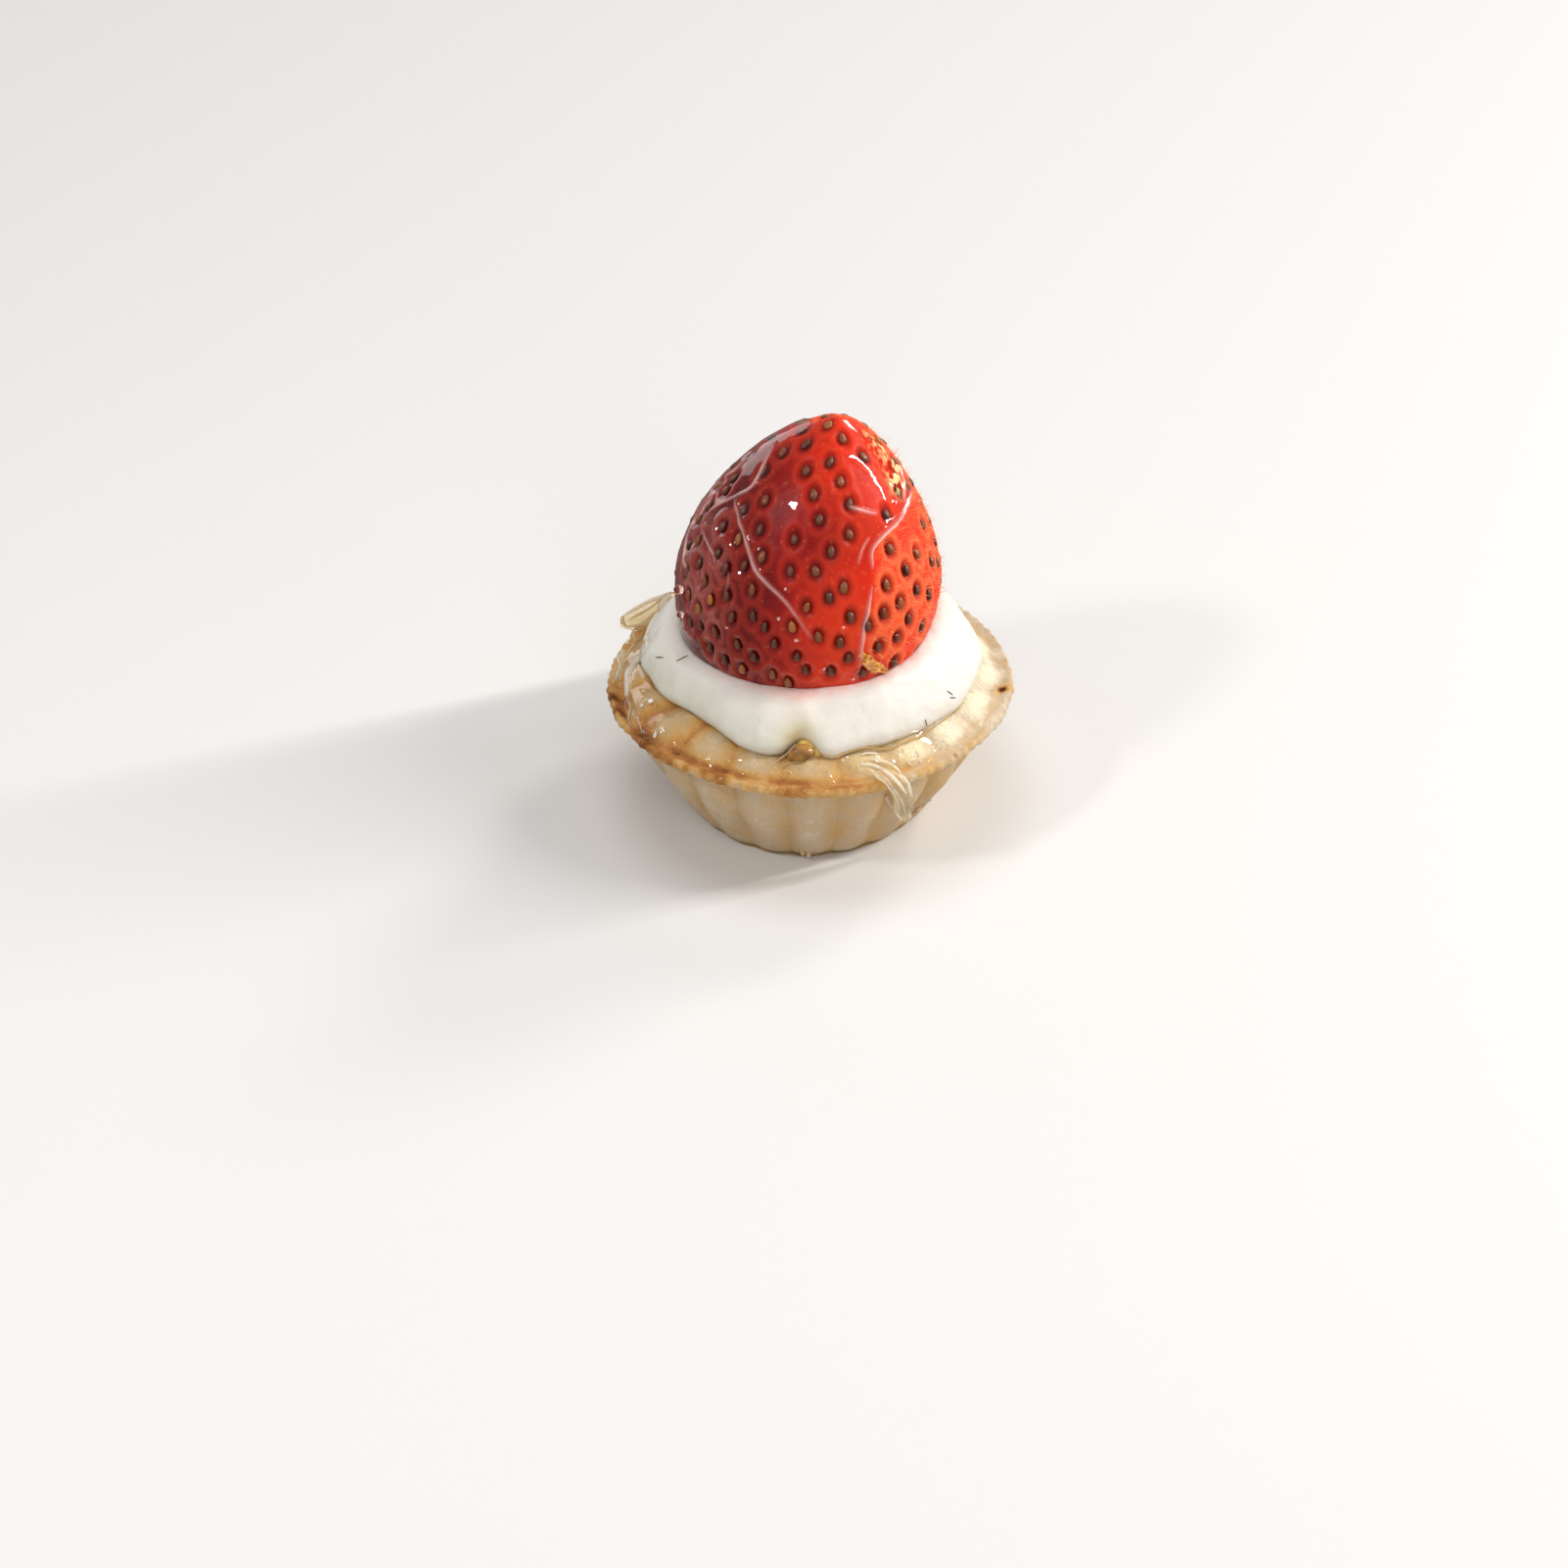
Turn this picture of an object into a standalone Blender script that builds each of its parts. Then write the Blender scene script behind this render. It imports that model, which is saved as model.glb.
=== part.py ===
"""Strawberry tart: a fluted shortcrust shell filled with cream, with one whole strawberry
standing in the cream, its tip up, and two thick pieces of set glaze on the rim.

Metres, +Z up. The origin is the middle of the flat base. The photographed side faces -Y.
"""

import math
import random

import bpy
from mathutils import Matrix, Vector

MM = 0.001
TURN = 2 * math.pi

# Driving dimensions
GAP = 0.3 * MM  # left between pieces that touch
FLUTES = 20
FLUTE_DIRECTION = math.radians(-89.5)  # one flute's ridge faces the front
LIP_RADIUS = 24.5 * MM
LIP_HEIGHT = 15.4 * MM
FLUTE_DEPTH = 0.65 * MM
BEAD_HEIGHT = 0.55 * MM
FLOOR_HEIGHT = 3.4 * MM
INNER_RADIUS = 16.2 * MM
CREAM_RADIUS = 18.5 * MM
CREAM_TOP = 23.1 * MM
CREAM_SLOPE = 1.3 * MM  # how much higher the cream stands at the right
BERRY_CENTRE = Vector((0.4 * MM, 1.2 * MM))
BERRY_RADIUS = 15.6 * MM
BERRY_BASE = 18.6 * MM
BERRY_WIDEST = 29.2 * MM
BERRY_TOP = 51.4 * MM
BERRY_LEAN = 2.7 * MM  # how far the tip leans to the right
BERRY_SHIFT = -1.1 * MM  # how far the base stands to the left
BERRY_TUCK = 20.0 * MM  # half height of the ellipse below the widest level
SEEDS = 240

# The lip's slow unevenness, as (waves in a turn, size, phase in degrees)
LIP_WAVES = ((1, 0.47 * MM, 95), (2, 0.42 * MM, 160), (3, 0.22 * MM, -45), (4, 0.25 * MM, 34))
LIP_SAG = ((1, 0.10 * MM, -158), (2, 0.28 * MM, 111))
WALL_WAVES = ((2, 0.65 * MM, 162),)
BERRY_WAVES = ((2, 0.18 * MM, 45), (3, 0.60 * MM, 160))

# Lobes and dents of the cream's edge, as (direction in degrees, half width in degrees, size)
CREAM_LOBES = (
    (-106, 14, 1.9 * MM),
    (-93, 4.5, -2.0 * MM),
    (-84, 6, 0.9 * MM),
    (-133, 18, -1.4 * MM),
    (-40, 10, -0.4 * MM),
    (10, 35, 1.9 * MM),
    (-14, 10, -0.35 * MM),
    (55, 18, -0.5 * MM),
    (150, 14, 0.9 * MM),
    (170, 22, 1.2 * MM),
)

# Where the cream stands higher or lower against the strawberry, the same way: the rise is
# beside the plate of glaze
CREAM_MOUNDS = ((150, 16, 1.3 * MM), (62, 24, -0.9 * MM))

# A browned bubble of pastry that stands up through the cream's edge at the front
BUBBLE_DIRECTION = math.radians(-92)
BUBBLE_RADIUS = 18.9 * MM
BUBBLE_SIZE = 0.95 * MM
BUBBLE_HEIGHT = 1.2 * MM

# A deeper stretch of the groove between the lip and the beads, at the left
GROOVE_DIRECTION = math.radians(200)
GROOVE_DEPTH = 0.5 * MM

# The plate of glaze that stands on the brim at the back left, as (x, y, height of its top, half
# width) in millimetres, from the cream to its end past the lip
SHARD = (
    (-15.6, 13.7, 19.3, 0.45),
    (-17.0, 12.6, 19.8, 0.6),
    (-18.2, 12.3, 19.5, 0.7),
    (-20.0, 11.8, 18.8, 0.7),
    (-21.6, 11.4, 18.0, 0.65),
    (-22.9, 11.1, 17.2, 0.4),
)

# Meshing
SHELL_SEGMENTS = 6 * FLUTES  # the crust and the cream share these, so that their gap is even
BERRY_SEGMENTS = 38
BERRY_RINGS = 16


def bell(distance, half_width):
    """A smooth bump: 1 at distance 0, falling to 0.6 at half_width."""
    return math.exp(-0.5 * (distance / half_width) ** 2)


def turn_between(first, second):
    """The signed angle from the second direction to the first, the short way round."""
    return (first - second + math.pi) % TURN - math.pi


def waves(angle, table):
    """A sum of slow waves round a turn."""
    return sum(size * math.cos(count * angle - math.radians(phase)) for count, size, phase in table)


def material(name, colour, roughness):
    """A Principled material in the colour of one kind of food."""
    made = bpy.data.materials.new(name)
    made.use_nodes = True
    shader = made.node_tree.nodes["Principled BSDF"]
    shader.inputs["Base Color"].default_value = (*colour, 1.0)
    shader.inputs["Roughness"].default_value = roughness
    shader.inputs["Metallic"].default_value = 0.0
    return made


def add_object(name, points, faces, finish):
    """One closed solid as a named, smooth-shaded object."""
    mesh = bpy.data.meshes.new(name)
    mesh.from_pydata(points, [], faces)
    mesh.materials.append(finish)
    mesh.shade_smooth()
    mesh.set_sharp_from_angle(angle=math.radians(50))
    mesh.update()
    made = bpy.data.objects.new(name, mesh)
    bpy.context.scene.collection.objects.link(made)
    return made


def turned_solid(name, section, segments, finish):
    """A closed solid whose outline changes round the turn. section(angle) gives the outline's
    points at that angle, from the pole below, round the outside, to the pole above."""
    columns = [section(TURN * step / segments) for step in range(segments)]
    rings = len(columns[0]) - 2
    points = [columns[0][0], columns[0][-1]]
    for ring in range(1, rings + 1):
        points += [column[ring] for column in columns]
    faces = []
    for step in range(segments):
        after = (step + 1) % segments
        faces.append((0, 2 + after, 2 + step))
        for ring in range(rings - 1):
            low, high = 2 + ring * segments, 2 + (ring + 1) * segments
            faces.append((low + step, low + after, high + after, high + step))
        last = 2 + (rings - 1) * segments
        faces.append((1, last + step, last + after))
    return add_object(name, points, faces, finish)


def polar(angle, radius, height, centre=(0.0, 0.0)):
    return Vector((centre[0] + radius * math.cos(angle), centre[1] + radius * math.sin(angle), height))


# The crust


def flute(angle):
    """1 on a flute's rounded ridge and 0 in the sharp valley between two flutes."""
    return abs(math.cos(FLUTES * (angle - FLUTE_DIRECTION) / 2))


def bubble(angle, radius):
    """Height of the browned pastry bubble above the brim at this place."""
    along = turn_between(angle, BUBBLE_DIRECTION) * radius
    distance = math.hypot(along, radius - BUBBLE_RADIUS)
    return BUBBLE_HEIGHT * bell(distance, BUBBLE_SIZE)


def lip(angle):
    """The lip's radius, and the height of its top, at this direction."""
    return LIP_RADIUS + waves(angle, LIP_WAVES), LIP_HEIGHT + waves(angle, LIP_SAG)


def crust_outside(angle):
    """(radius, height) stations up the fluted wall to the lip's outer edge."""
    valley = FLUTE_DEPTH * (1 - flute(angle))
    wave = waves(angle, WALL_WAVES)
    stations = (
        (13.9 * MM, 0.0, 0.4, 0.8),
        (14.9 * MM, 0.6 * MM, 0.8, 0.8),
        (16.6 * MM, 2.6 * MM, 1.0, 0.8),
        (20.2 * MM, 8.4 * MM, 1.0, 0.5),
        (22.1 * MM, 13.2 * MM, 0.7, 0.2),
    )
    wall = [(radius + share * wave - depth * valley, rise) for radius, rise, depth, share in stations]
    out, level = lip(angle)
    edge = [
        (out - 0.9 * MM, level - 1.2 * MM),
        (out - 0.15 * MM, level - 0.9 * MM),
        (out, level - 0.35 * MM),
        (out - 0.35 * MM, level + 0.1 * MM),
    ]
    return wall + edge


def brim(angle):
    """(radius, height) stations from the lip's top, over the beads, to the shell's inner edge."""
    out, level = lip(angle)
    groove = GROOVE_DEPTH * bell(turn_between(angle, GROOVE_DIRECTION), math.radians(15))
    bead = BEAD_HEIGHT * (flute(angle) - 0.5) * (0.75 - 0.25 * math.cos(angle))
    stations = (
        (out - 1.45 * MM, level - 0.15 * MM - groove),
        (out - 2.1 * MM, level + 0.15 * MM + 0.4 * bead - groove),
        (out - 3.2 * MM, level + 0.85 * MM + bead),
        (out - 4.3 * MM, level + 1.25 * MM + 0.8 * bead),
        (BUBBLE_RADIUS, level + 1.4 * MM + 0.3 * bead),
        (INNER_RADIUS, level + 1.3 * MM),
    )
    return [(radius, height + bubble(angle, radius)) for radius, height in stations]


def shell_inside():
    """(radius, height) stations down the inside of the shell to its floor."""
    return [(INNER_RADIUS - 0.9 * MM, 13.4 * MM), (12.0 * MM, FLOOR_HEIGHT)]


def crust_section(angle):
    stations = crust_outside(angle) + brim(angle) + shell_inside()
    below, inside = Vector((0, 0, 0)), Vector((0, 0, FLOOR_HEIGHT))
    return [below] + [polar(angle, radius, height) for radius, height in stations] + [inside]


# The strawberry


def berry_middle(height):
    """The strawberry's axis at this height: it bends to the left below and to the right above."""
    if height < BERRY_WIDEST:
        lean = BERRY_SHIFT * ((BERRY_WIDEST - height) / (BERRY_WIDEST - BERRY_BASE)) ** 2
    else:
        lean = BERRY_LEAN * ((height - BERRY_WIDEST) / (BERRY_TOP - BERRY_WIDEST)) ** 2.9
    return BERRY_CENTRE + Vector((lean, 0))


def berry_radius(angle, height):
    """The strawberry's radius about its own axis."""
    if height < BERRY_WIDEST:
        share = math.sqrt(max(0.0, 1 - ((BERRY_WIDEST - height) / BERRY_TUCK) ** 2))
    else:
        rise = min(1.0, (height - BERRY_WIDEST) / (BERRY_TOP - BERRY_WIDEST))
        share = max(0.0, 1 - rise**1.6) ** 0.69
    return share * (BERRY_RADIUS + waves(angle, BERRY_WAVES))


def berry_point(angle, height, out=0.0):
    return polar(angle, berry_radius(angle, height) + out, height, berry_middle(height))


def berry_levels(count, lowest):
    """Heights of rings with equal arc length between them, from lowest to just under the tip."""
    fine = 2000
    heights = [lowest + (BERRY_TOP - lowest) * step / fine for step in range(fine + 1)]
    radii = [berry_radius(0.0, height) for height in heights]
    arc = [0.0]
    for step in range(fine):
        slant = math.hypot(heights[step + 1] - heights[step], radii[step + 1] - radii[step])
        arc.append(arc[-1] + slant)
    levels = []
    for ring in range(count):
        wanted = arc[-1] * ring / count
        levels.append(next(height for height, length in zip(heights, arc) if length >= wanted))
    return levels


def berry_section(angle):
    rings = [berry_point(angle, height) for height in berry_levels(BERRY_RINGS, BERRY_BASE)]
    below, tip = berry_middle(BERRY_BASE), berry_middle(BERRY_TOP)
    return [Vector((*below, BERRY_BASE))] + rings + [Vector((*tip, BERRY_TOP))]


def seed_places():
    """(angle, height) of each seed above the cream: a spiral with equal areas, a little uneven."""
    draw = random.Random(7)
    golden = math.pi * (3 - math.sqrt(5))
    lowest = CREAM_TOP + 0.8 * MM
    fine = 2000
    heights = [lowest + (BERRY_TOP - lowest) * step / fine for step in range(fine + 1)]
    radii = [berry_radius(0.0, height) for height in heights]
    area = [0.0]
    for step in range(fine):
        slant = math.hypot(heights[step + 1] - heights[step], radii[step + 1] - radii[step])
        area.append(area[-1] + slant * (radii[step + 1] + radii[step]))
    places = []
    for seed in range(SEEDS):
        wanted = area[-1] * (seed + 0.5) / SEEDS
        height = next(level for level, total in zip(heights, area) if total >= wanted)
        angle = seed * golden + draw.uniform(-0.3, 0.3) * MM / max(2 * MM, berry_radius(0.0, height))
        places.append((angle, height))
    return places


def seed_mesh(finish):
    """A seed's low bump: a long six-sided ring just below the skin and a peak above it."""
    length, width = 1.75 * MM, 1.2 * MM
    points = [Vector((0, 0, -0.6 * MM)), Vector((0, 0.1 * MM, 0.26 * MM))]
    for step in range(6):
        angle = TURN * (step + 0.5) / 6
        points.append(Vector((width * math.cos(angle) / 2, length * math.sin(angle) / 2, -0.08 * MM)))
    faces = []
    for step in range(6):
        after = (step + 1) % 6
        faces.append((0, 2 + after, 2 + step))
        faces.append((1, 2 + step, 2 + after))
    mesh = bpy.data.meshes.new("seed")
    mesh.from_pydata(points, [], faces)
    mesh.materials.append(finish)
    return mesh


def seed_frame(angle, height):
    """A seed's place on the skin: its length runs towards the tip and its peak points out."""
    here = berry_point(angle, height)
    above = berry_point(angle, min(height + 0.2 * MM, BERRY_TOP))
    below = berry_point(angle, height - 0.2 * MM)
    along = (above - below).normalized()
    across = (berry_point(angle + 0.01, height) - berry_point(angle - 0.01, height)).normalized()
    out = across.cross(along).normalized()
    turned = Matrix((across, out.cross(across), out)).transposed().to_4x4()
    return Matrix.Translation(here) @ turned


def strawberry():
    """The strawberry's body with its seeds fused to the skin."""
    skin = material("strawberry", (0.62, 0.035, 0.02), 0.25)
    berry = turned_solid("strawberry", berry_section, BERRY_SEGMENTS, skin)
    seeds = bpy.data.collections.new("seeds")
    bpy.context.scene.collection.children.link(seeds)
    mesh = seed_mesh(skin)
    for number, (angle, height) in enumerate(seed_places()):
        seed = bpy.data.objects.new(f"seed_{number}", mesh)
        seed.matrix_world = seed_frame(angle, height)
        seeds.objects.link(seed)
    union = berry.modifiers.new("seeds", "BOOLEAN")
    union.operation = "UNION"
    union.operand_type = "COLLECTION"
    union.collection = seeds
    union.solver = "MANIFOLD"
    bpy.context.view_layer.update()
    evaluated = berry.evaluated_get(bpy.context.evaluated_depsgraph_get())
    fused = bpy.data.meshes.new_from_object(evaluated)
    berry.modifiers.clear()
    berry.data = fused
    for seed in list(seeds.objects):
        bpy.data.objects.remove(seed)
    bpy.data.collections.remove(seeds)
    return berry


# The cream


def bumps(angle, table):
    """A sum of bumps and dents round a turn."""
    total = 0.0
    for way, half, size in table:
        total += size * bell(turn_between(angle, math.radians(way)), math.radians(half))
    return total


def cream_foot(angle):
    """Radius of the cream's edge on the brim."""
    return CREAM_RADIUS + bumps(angle, CREAM_LOBES)


def cream_top(angle):
    """Height of the cream where it meets the strawberry."""
    return CREAM_TOP + CREAM_SLOPE * math.cos(angle) + bumps(angle, CREAM_MOUNDS)


def crust_height(angle, radius):
    """Height of the brim at this radius, read between its stations."""
    stations = brim(angle)
    for (outer, high), (inner, low) in zip(stations, stations[1:]):
        if inner <= radius <= outer:
            return low + (high - low) * (radius - inner) / (outer - inner)
    return stations[0][1]


def cream_section(angle):
    """The outline of the cream, which fills the shell, laps over the brim and holds the strawberry."""
    foot = cream_foot(angle)
    middle = BUBBLE_RADIUS if foot > BUBBLE_RADIUS + 0.3 * MM else (INNER_RADIUS + foot) / 2
    corner, slope = reversed(shell_inside())
    hidden = [
        (corner[0] - 0.15 * MM, corner[1] + GAP),
        (slope[0] - 1.05 * GAP, slope[1]),
        (INNER_RADIUS - 0.8 * GAP, crust_height(angle, INNER_RADIUS) + 0.8 * GAP),
        (middle, crust_height(angle, middle) + GAP + 0.3 * bubble(angle, middle)),
    ]
    on_brim = crust_height(angle, foot) + GAP + 0.3 * bubble(angle, foot)
    top = cream_top(angle)
    rise = top - on_brim
    width = foot - math.hypot(*berry_point(angle, top, GAP).xy)
    shown = [
        (foot, on_brim),
        (foot + 0.45 * MM, on_brim + 0.14 * rise),
        (foot + 0.15 * MM, on_brim + 0.33 * rise),
        (foot - 0.20 * width, on_brim + 0.60 * rise),
        (foot - 0.52 * width, on_brim + 0.85 * rise),
    ]
    socket = [(top, 0.25 * MM), (20.9 * MM, 0.1 * MM), (BERRY_BASE - GAP, 0.1 * MM)]
    points = [Vector((0, 0, FLOOR_HEIGHT + GAP))]
    points += [polar(angle, radius, height) for radius, height in hidden + shown]
    points += [berry_point(angle, height, GAP + ease) for height, ease in socket]
    points.append(Vector((*berry_middle(BERRY_BASE), BERRY_BASE - GAP)))
    return points


# The pieces of set glaze


def ribbon(name, stations, finish):
    """A thick ribbon of glaze with a flat underside, rounded top and closed ends. Each station is
    (middle of the underside, direction across, direction out, half width, thickness)."""
    outline = ((-1, 0), (-1, 0.45), (-0.6, 0.9), (0, 1), (0.6, 0.9), (1, 0.45), (1, 0), (0, 0))
    count = len(outline)
    points = []
    for middle, across, out, half_width, thickness in stations:
        for side, rise in outline:
            points.append(middle + across * (half_width * side) + out * (thickness * rise))
    faces = []
    for row in range(len(stations) - 1):
        for step in range(count):
            after = (step + 1) % count
            near, far = row * count, (row + 1) * count
            faces.append((near + step, near + after, far + after, far + step))
    last = (len(stations) - 1) * count
    for first, turn in ((0, -1), (last, 1)):
        ends = [first + step for step in range(count)]
        faces.append(tuple(ends[::turn]))
    return add_object(name, points, faces, finish)


def glaze_drip(finish):
    """Glaze that ran over the lip at the front right and set as a tongue against the wall."""
    edge, level = lip(math.radians(-65))
    rows = (
        (-68, edge - 1.9 * MM, level + 0.85 * MM, 60, 1.0, 0.4),
        (-67, edge - 0.8 * MM, level + 0.70 * MM, 65, 1.3, 0.7),
        (-65.5, edge + 0.15 * MM, level + 0.45 * MM, 40, 1.4, 0.8),
        (-64, edge + 0.4 * MM, level - 0.7 * MM, 0, 1.35, 0.8),
        (-61.5, 23.4 * MM, level - 3.0 * MM, -20, 1.25, 0.9),
        (-59, 21.5 * MM, level - 6.0 * MM, -28, 1.1, 0.8),
        (-56, 20.6 * MM, level - 8.2 * MM, -28, 0.8, 0.7),
        (-55, 20.2 * MM, level - 9.1 * MM, -28, 0.35, 0.3),
    )
    stations = []
    for direction, radius, height, tilt, half_width, thickness in rows:
        angle, lean = math.radians(direction), math.radians(tilt)
        across = Vector((math.sin(angle), -math.cos(angle), 0))
        out = polar(angle, math.cos(lean), math.sin(lean))
        stations.append((polar(angle, radius, height), across, out, half_width * MM, thickness * MM))
    return ribbon("glaze_drip", stations, finish)


def glaze_shard(finish):
    """A plate of set glaze that stands on the brim at the back left, its end past the lip."""
    across = Vector((0.2, 0.98, 0)).normalized()
    up = Vector((0, 0, 1))
    stations = []
    for x, y, top, half_width in SHARD:
        middle = Vector((x, y, 0)) * MM
        near = middle - across * (half_width * MM)
        angle, radius = math.atan2(near.y, near.x), near.length
        under = max(crust_height(angle, radius), lip(angle)[1] + 0.1 * MM) + GAP
        middle.z = under + 0.5 * max(0.0, radius - lip(angle)[0])
        stations.append((middle, across, up, half_width * MM, top * MM - middle.z))
    return ribbon("glaze_shard", stations, finish)


def main():
    for old in list(bpy.data.objects):
        bpy.data.objects.remove(old)
    turned_solid("crust", crust_section, SHELL_SEGMENTS, material("crust", (0.72, 0.48, 0.24), 0.75))
    turned_solid("cream", cream_section, SHELL_SEGMENTS, material("cream", (0.93, 0.90, 0.83), 0.4))
    strawberry()
    glaze = material("glaze", (0.85, 0.55, 0.18), 0.08)
    glaze_drip(glaze)
    glaze_shard(glaze)


main()
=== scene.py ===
"""Strawberry tart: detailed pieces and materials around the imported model.

Lengths in the tables and the meshing code are millimetres; make_mesh turns them into metres.
Pixels are places in the 1600 x 1600 photograph.
"""

import math

import bpy
import numpy as np
from mathutils import Euler, Matrix, Vector
from mathutils.bvhtree import BVHTree


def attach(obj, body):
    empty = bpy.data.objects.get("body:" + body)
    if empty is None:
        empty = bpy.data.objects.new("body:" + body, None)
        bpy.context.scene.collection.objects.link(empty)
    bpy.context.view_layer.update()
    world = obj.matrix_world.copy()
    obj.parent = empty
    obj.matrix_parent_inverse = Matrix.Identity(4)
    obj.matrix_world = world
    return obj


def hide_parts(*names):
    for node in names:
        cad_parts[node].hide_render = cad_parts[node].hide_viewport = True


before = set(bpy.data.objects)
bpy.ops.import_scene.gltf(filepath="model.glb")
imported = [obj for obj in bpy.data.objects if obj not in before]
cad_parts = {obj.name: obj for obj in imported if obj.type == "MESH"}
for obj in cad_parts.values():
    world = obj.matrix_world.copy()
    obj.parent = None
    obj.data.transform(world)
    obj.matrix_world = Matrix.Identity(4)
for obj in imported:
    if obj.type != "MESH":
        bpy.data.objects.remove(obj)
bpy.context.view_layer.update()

TURN = 2 * math.pi
MM = 0.001

# The part's driving dimensions, in millimetres
GAP = 0.3
FLUTES = 20
FLUTE_DIRECTION = math.radians(-89.5)
LIP_RADIUS, LIP_HEIGHT = 24.5, 15.4
FLUTE_DEPTH = 0.65
BEAD_HEIGHT = 0.55
FLOOR_HEIGHT = 3.4
INNER_RADIUS = 16.2
CREAM_RADIUS, CREAM_TOP, CREAM_SLOPE = 18.5, 23.1, 1.3
BERRY_CENTRE = (0.4, 1.2)
BERRY_RADIUS, BERRY_BASE, BERRY_WIDEST, BERRY_TOP = 15.6, 18.6, 29.2, 51.4
BERRY_LEAN, BERRY_SHIFT, BERRY_TUCK = 2.7, -1.1, 20.0
LIP_WAVES = ((1, 0.47, 95), (2, 0.42, 160), (3, 0.22, -45), (4, 0.25, 34))
LIP_SAG = ((1, 0.10, -158), (2, 0.28, 111))
WALL_WAVES = ((2, 0.65, 162),)
BERRY_WAVES = ((2, 0.18, 45), (3, 0.60, 160))
CREAM_LOBES = (
    (-106, 14, 1.9), (-93, 4.5, -2.0), (-84, 6, 0.9), (-133, 18, -1.4), (-40, 10, -0.4),
    (10, 35, 1.9), (-14, 10, -0.35), (55, 18, -0.5), (150, 14, 0.9), (170, 22, 1.2),
)
CREAM_MOUNDS = ((150, 16, 1.3), (62, 24, -0.9))
BUBBLE_DIRECTION = math.radians(-92)
BUBBLE_RADIUS, BUBBLE_SIZE, BUBBLE_HEIGHT = 18.9, 0.95, 1.2
GROOVE_DIRECTION, GROOVE_DEPTH = math.radians(200), 0.5
SHARD = (
    (-15.6, 13.7, 19.3, 0.45), (-17.0, 12.6, 19.8, 0.6), (-18.2, 12.3, 19.5, 0.7),
    (-20.0, 11.8, 18.8, 0.7), (-21.6, 11.4, 18.0, 0.65), (-22.9, 11.1, 17.2, 0.4),
)
# The outside wall: radius, height, share of a flute's depth, share of the wall's waves
WALL = (
    (13.9, 0.0, 0.4, 0.8), (14.9, 0.6, 0.8, 0.8), (16.6, 2.6, 1.0, 0.8), (20.2, 8.4, 1.0, 0.5),
    (22.1, 13.2, 0.7, 0.2),
)

# How finely the strawberry's outline is measured
CURVE_STEPS = 4001

# The camera of the photograph
CAMERA_PLACE = (0.002464, -0.757556, 0.509849)
CAMERA_TURN = (56.0741, 0.15872, 0.31430)
CAMERA_LENS, CAMERA_SENSOR = 172.8, 36.0
PHOTO_SIDE = 1600
PHOTO_MIDDLE = PHOTO_SIDE / 2
PIXEL = CAMERA_SENSOR / CAMERA_LENS / PHOTO_SIDE
CAMERA_EULER = Euler([math.radians(value) for value in CAMERA_TURN], "XYZ")
CAMERA_AXES = np.array(CAMERA_EULER.to_matrix())
EYE = np.array(CAMERA_PLACE) / MM

# Places in the photograph: a burn on the wall, an olive tint on the cream, a dark patch of skin
BURN_PIXEL, OLIVE_PIXEL, DARK_PIXEL = (1023, 704), (815, 752), (822, 548)

WHITE = (1.0, 1.0, 1.0)


# ---------------------------------------------------------------- small mathematics


def bell(distance, half_width):
    """A smooth bump: 1 at distance 0, falling to 0.6 at half_width."""
    return np.exp(-0.5 * (distance / half_width) ** 2)


def turn_between(first, second):
    return (first - second + math.pi) % TURN - math.pi


def circle(count):
    """Directions spread evenly all round."""
    return np.arange(count) * TURN / count


def near_way(angle, degrees, half_width):
    """A bell round one direction; the direction and its half width are degrees."""
    return bell(turn_between(angle, math.radians(degrees)), math.radians(half_width))


def waves(angle, table):
    return sum(size * np.cos(count * angle - math.radians(phase)) for count, size, phase in table)


def bumps(angle, table):
    return sum(size * near_way(angle, way, half_width) for way, half_width, size in table)


def smooth(value, low, high):
    """0 below low and 1 above high, with a smooth rise between them; low may be above high."""
    share = np.clip((value - low) / (high - low), 0, 1)
    return share * share * (3 - 2 * share)


LATTICE = np.random.RandomState(11).rand(32, 32, 32)


def noise(points, size, seed=0):
    """Smooth noise from -1 to 1 over points, with features of about this size."""
    place = points / size + seed * 5.37
    cell = np.floor(place).astype(int)
    part = place - cell
    part = part * part * (3 - 2 * part)
    total = np.zeros(len(points))
    for x in (0, 1):
        for y in (0, 1):
            for z in (0, 1):
                weight = (
                    (part[:, 0] if x else 1 - part[:, 0])
                    * (part[:, 1] if y else 1 - part[:, 1])
                    * (part[:, 2] if z else 1 - part[:, 2])
                )
                corner = (cell + (x, y, z)) % 32
                total += weight * LATTICE[corner[:, 0], corner[:, 1], corner[:, 2]]
    return total * 2 - 1


def rough(points, size, octaves=3, seed=0):
    """Noise with finer and weaker layers on top."""
    total, weight = 0, 1.0
    for octave in range(octaves):
        total = total + weight * noise(points, size / 2**octave, seed + octave)
        weight *= 0.5
    return total


def spline(knots, count, closed=False):
    """Catmull-Rom curve through knots of shape (n, ...), as count points evenly spread in n."""
    knots = np.asarray(knots, float)
    total = len(knots)
    spans = total if closed else total - 1
    place = np.linspace(0, spans, count, endpoint=not closed)
    first = np.minimum(place.astype(int), spans - 1)
    part = (place - first).reshape((-1,) + (1,) * (knots.ndim - 1))

    def at(offset):
        index = first + offset
        return knots[index % total] if closed else knots[np.clip(index, 0, total - 1)]

    before, start, end, after = at(-1), at(0), at(1), at(2)
    return 0.5 * (
        2 * start
        + (end - before) * part
        + (2 * before - 5 * start + 4 * end - after) * part**2
        + (3 * start - before - 3 * end + after) * part**3
    )


# ---------------------------------------------------------------- the part's forms


def polar(angle, radius, height, centre=(0.0, 0.0)):
    x, y = centre[0] + radius * np.cos(angle), centre[1] + radius * np.sin(angle)
    return np.stack(np.broadcast_arrays(x, y, height), axis=-1)


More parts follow.
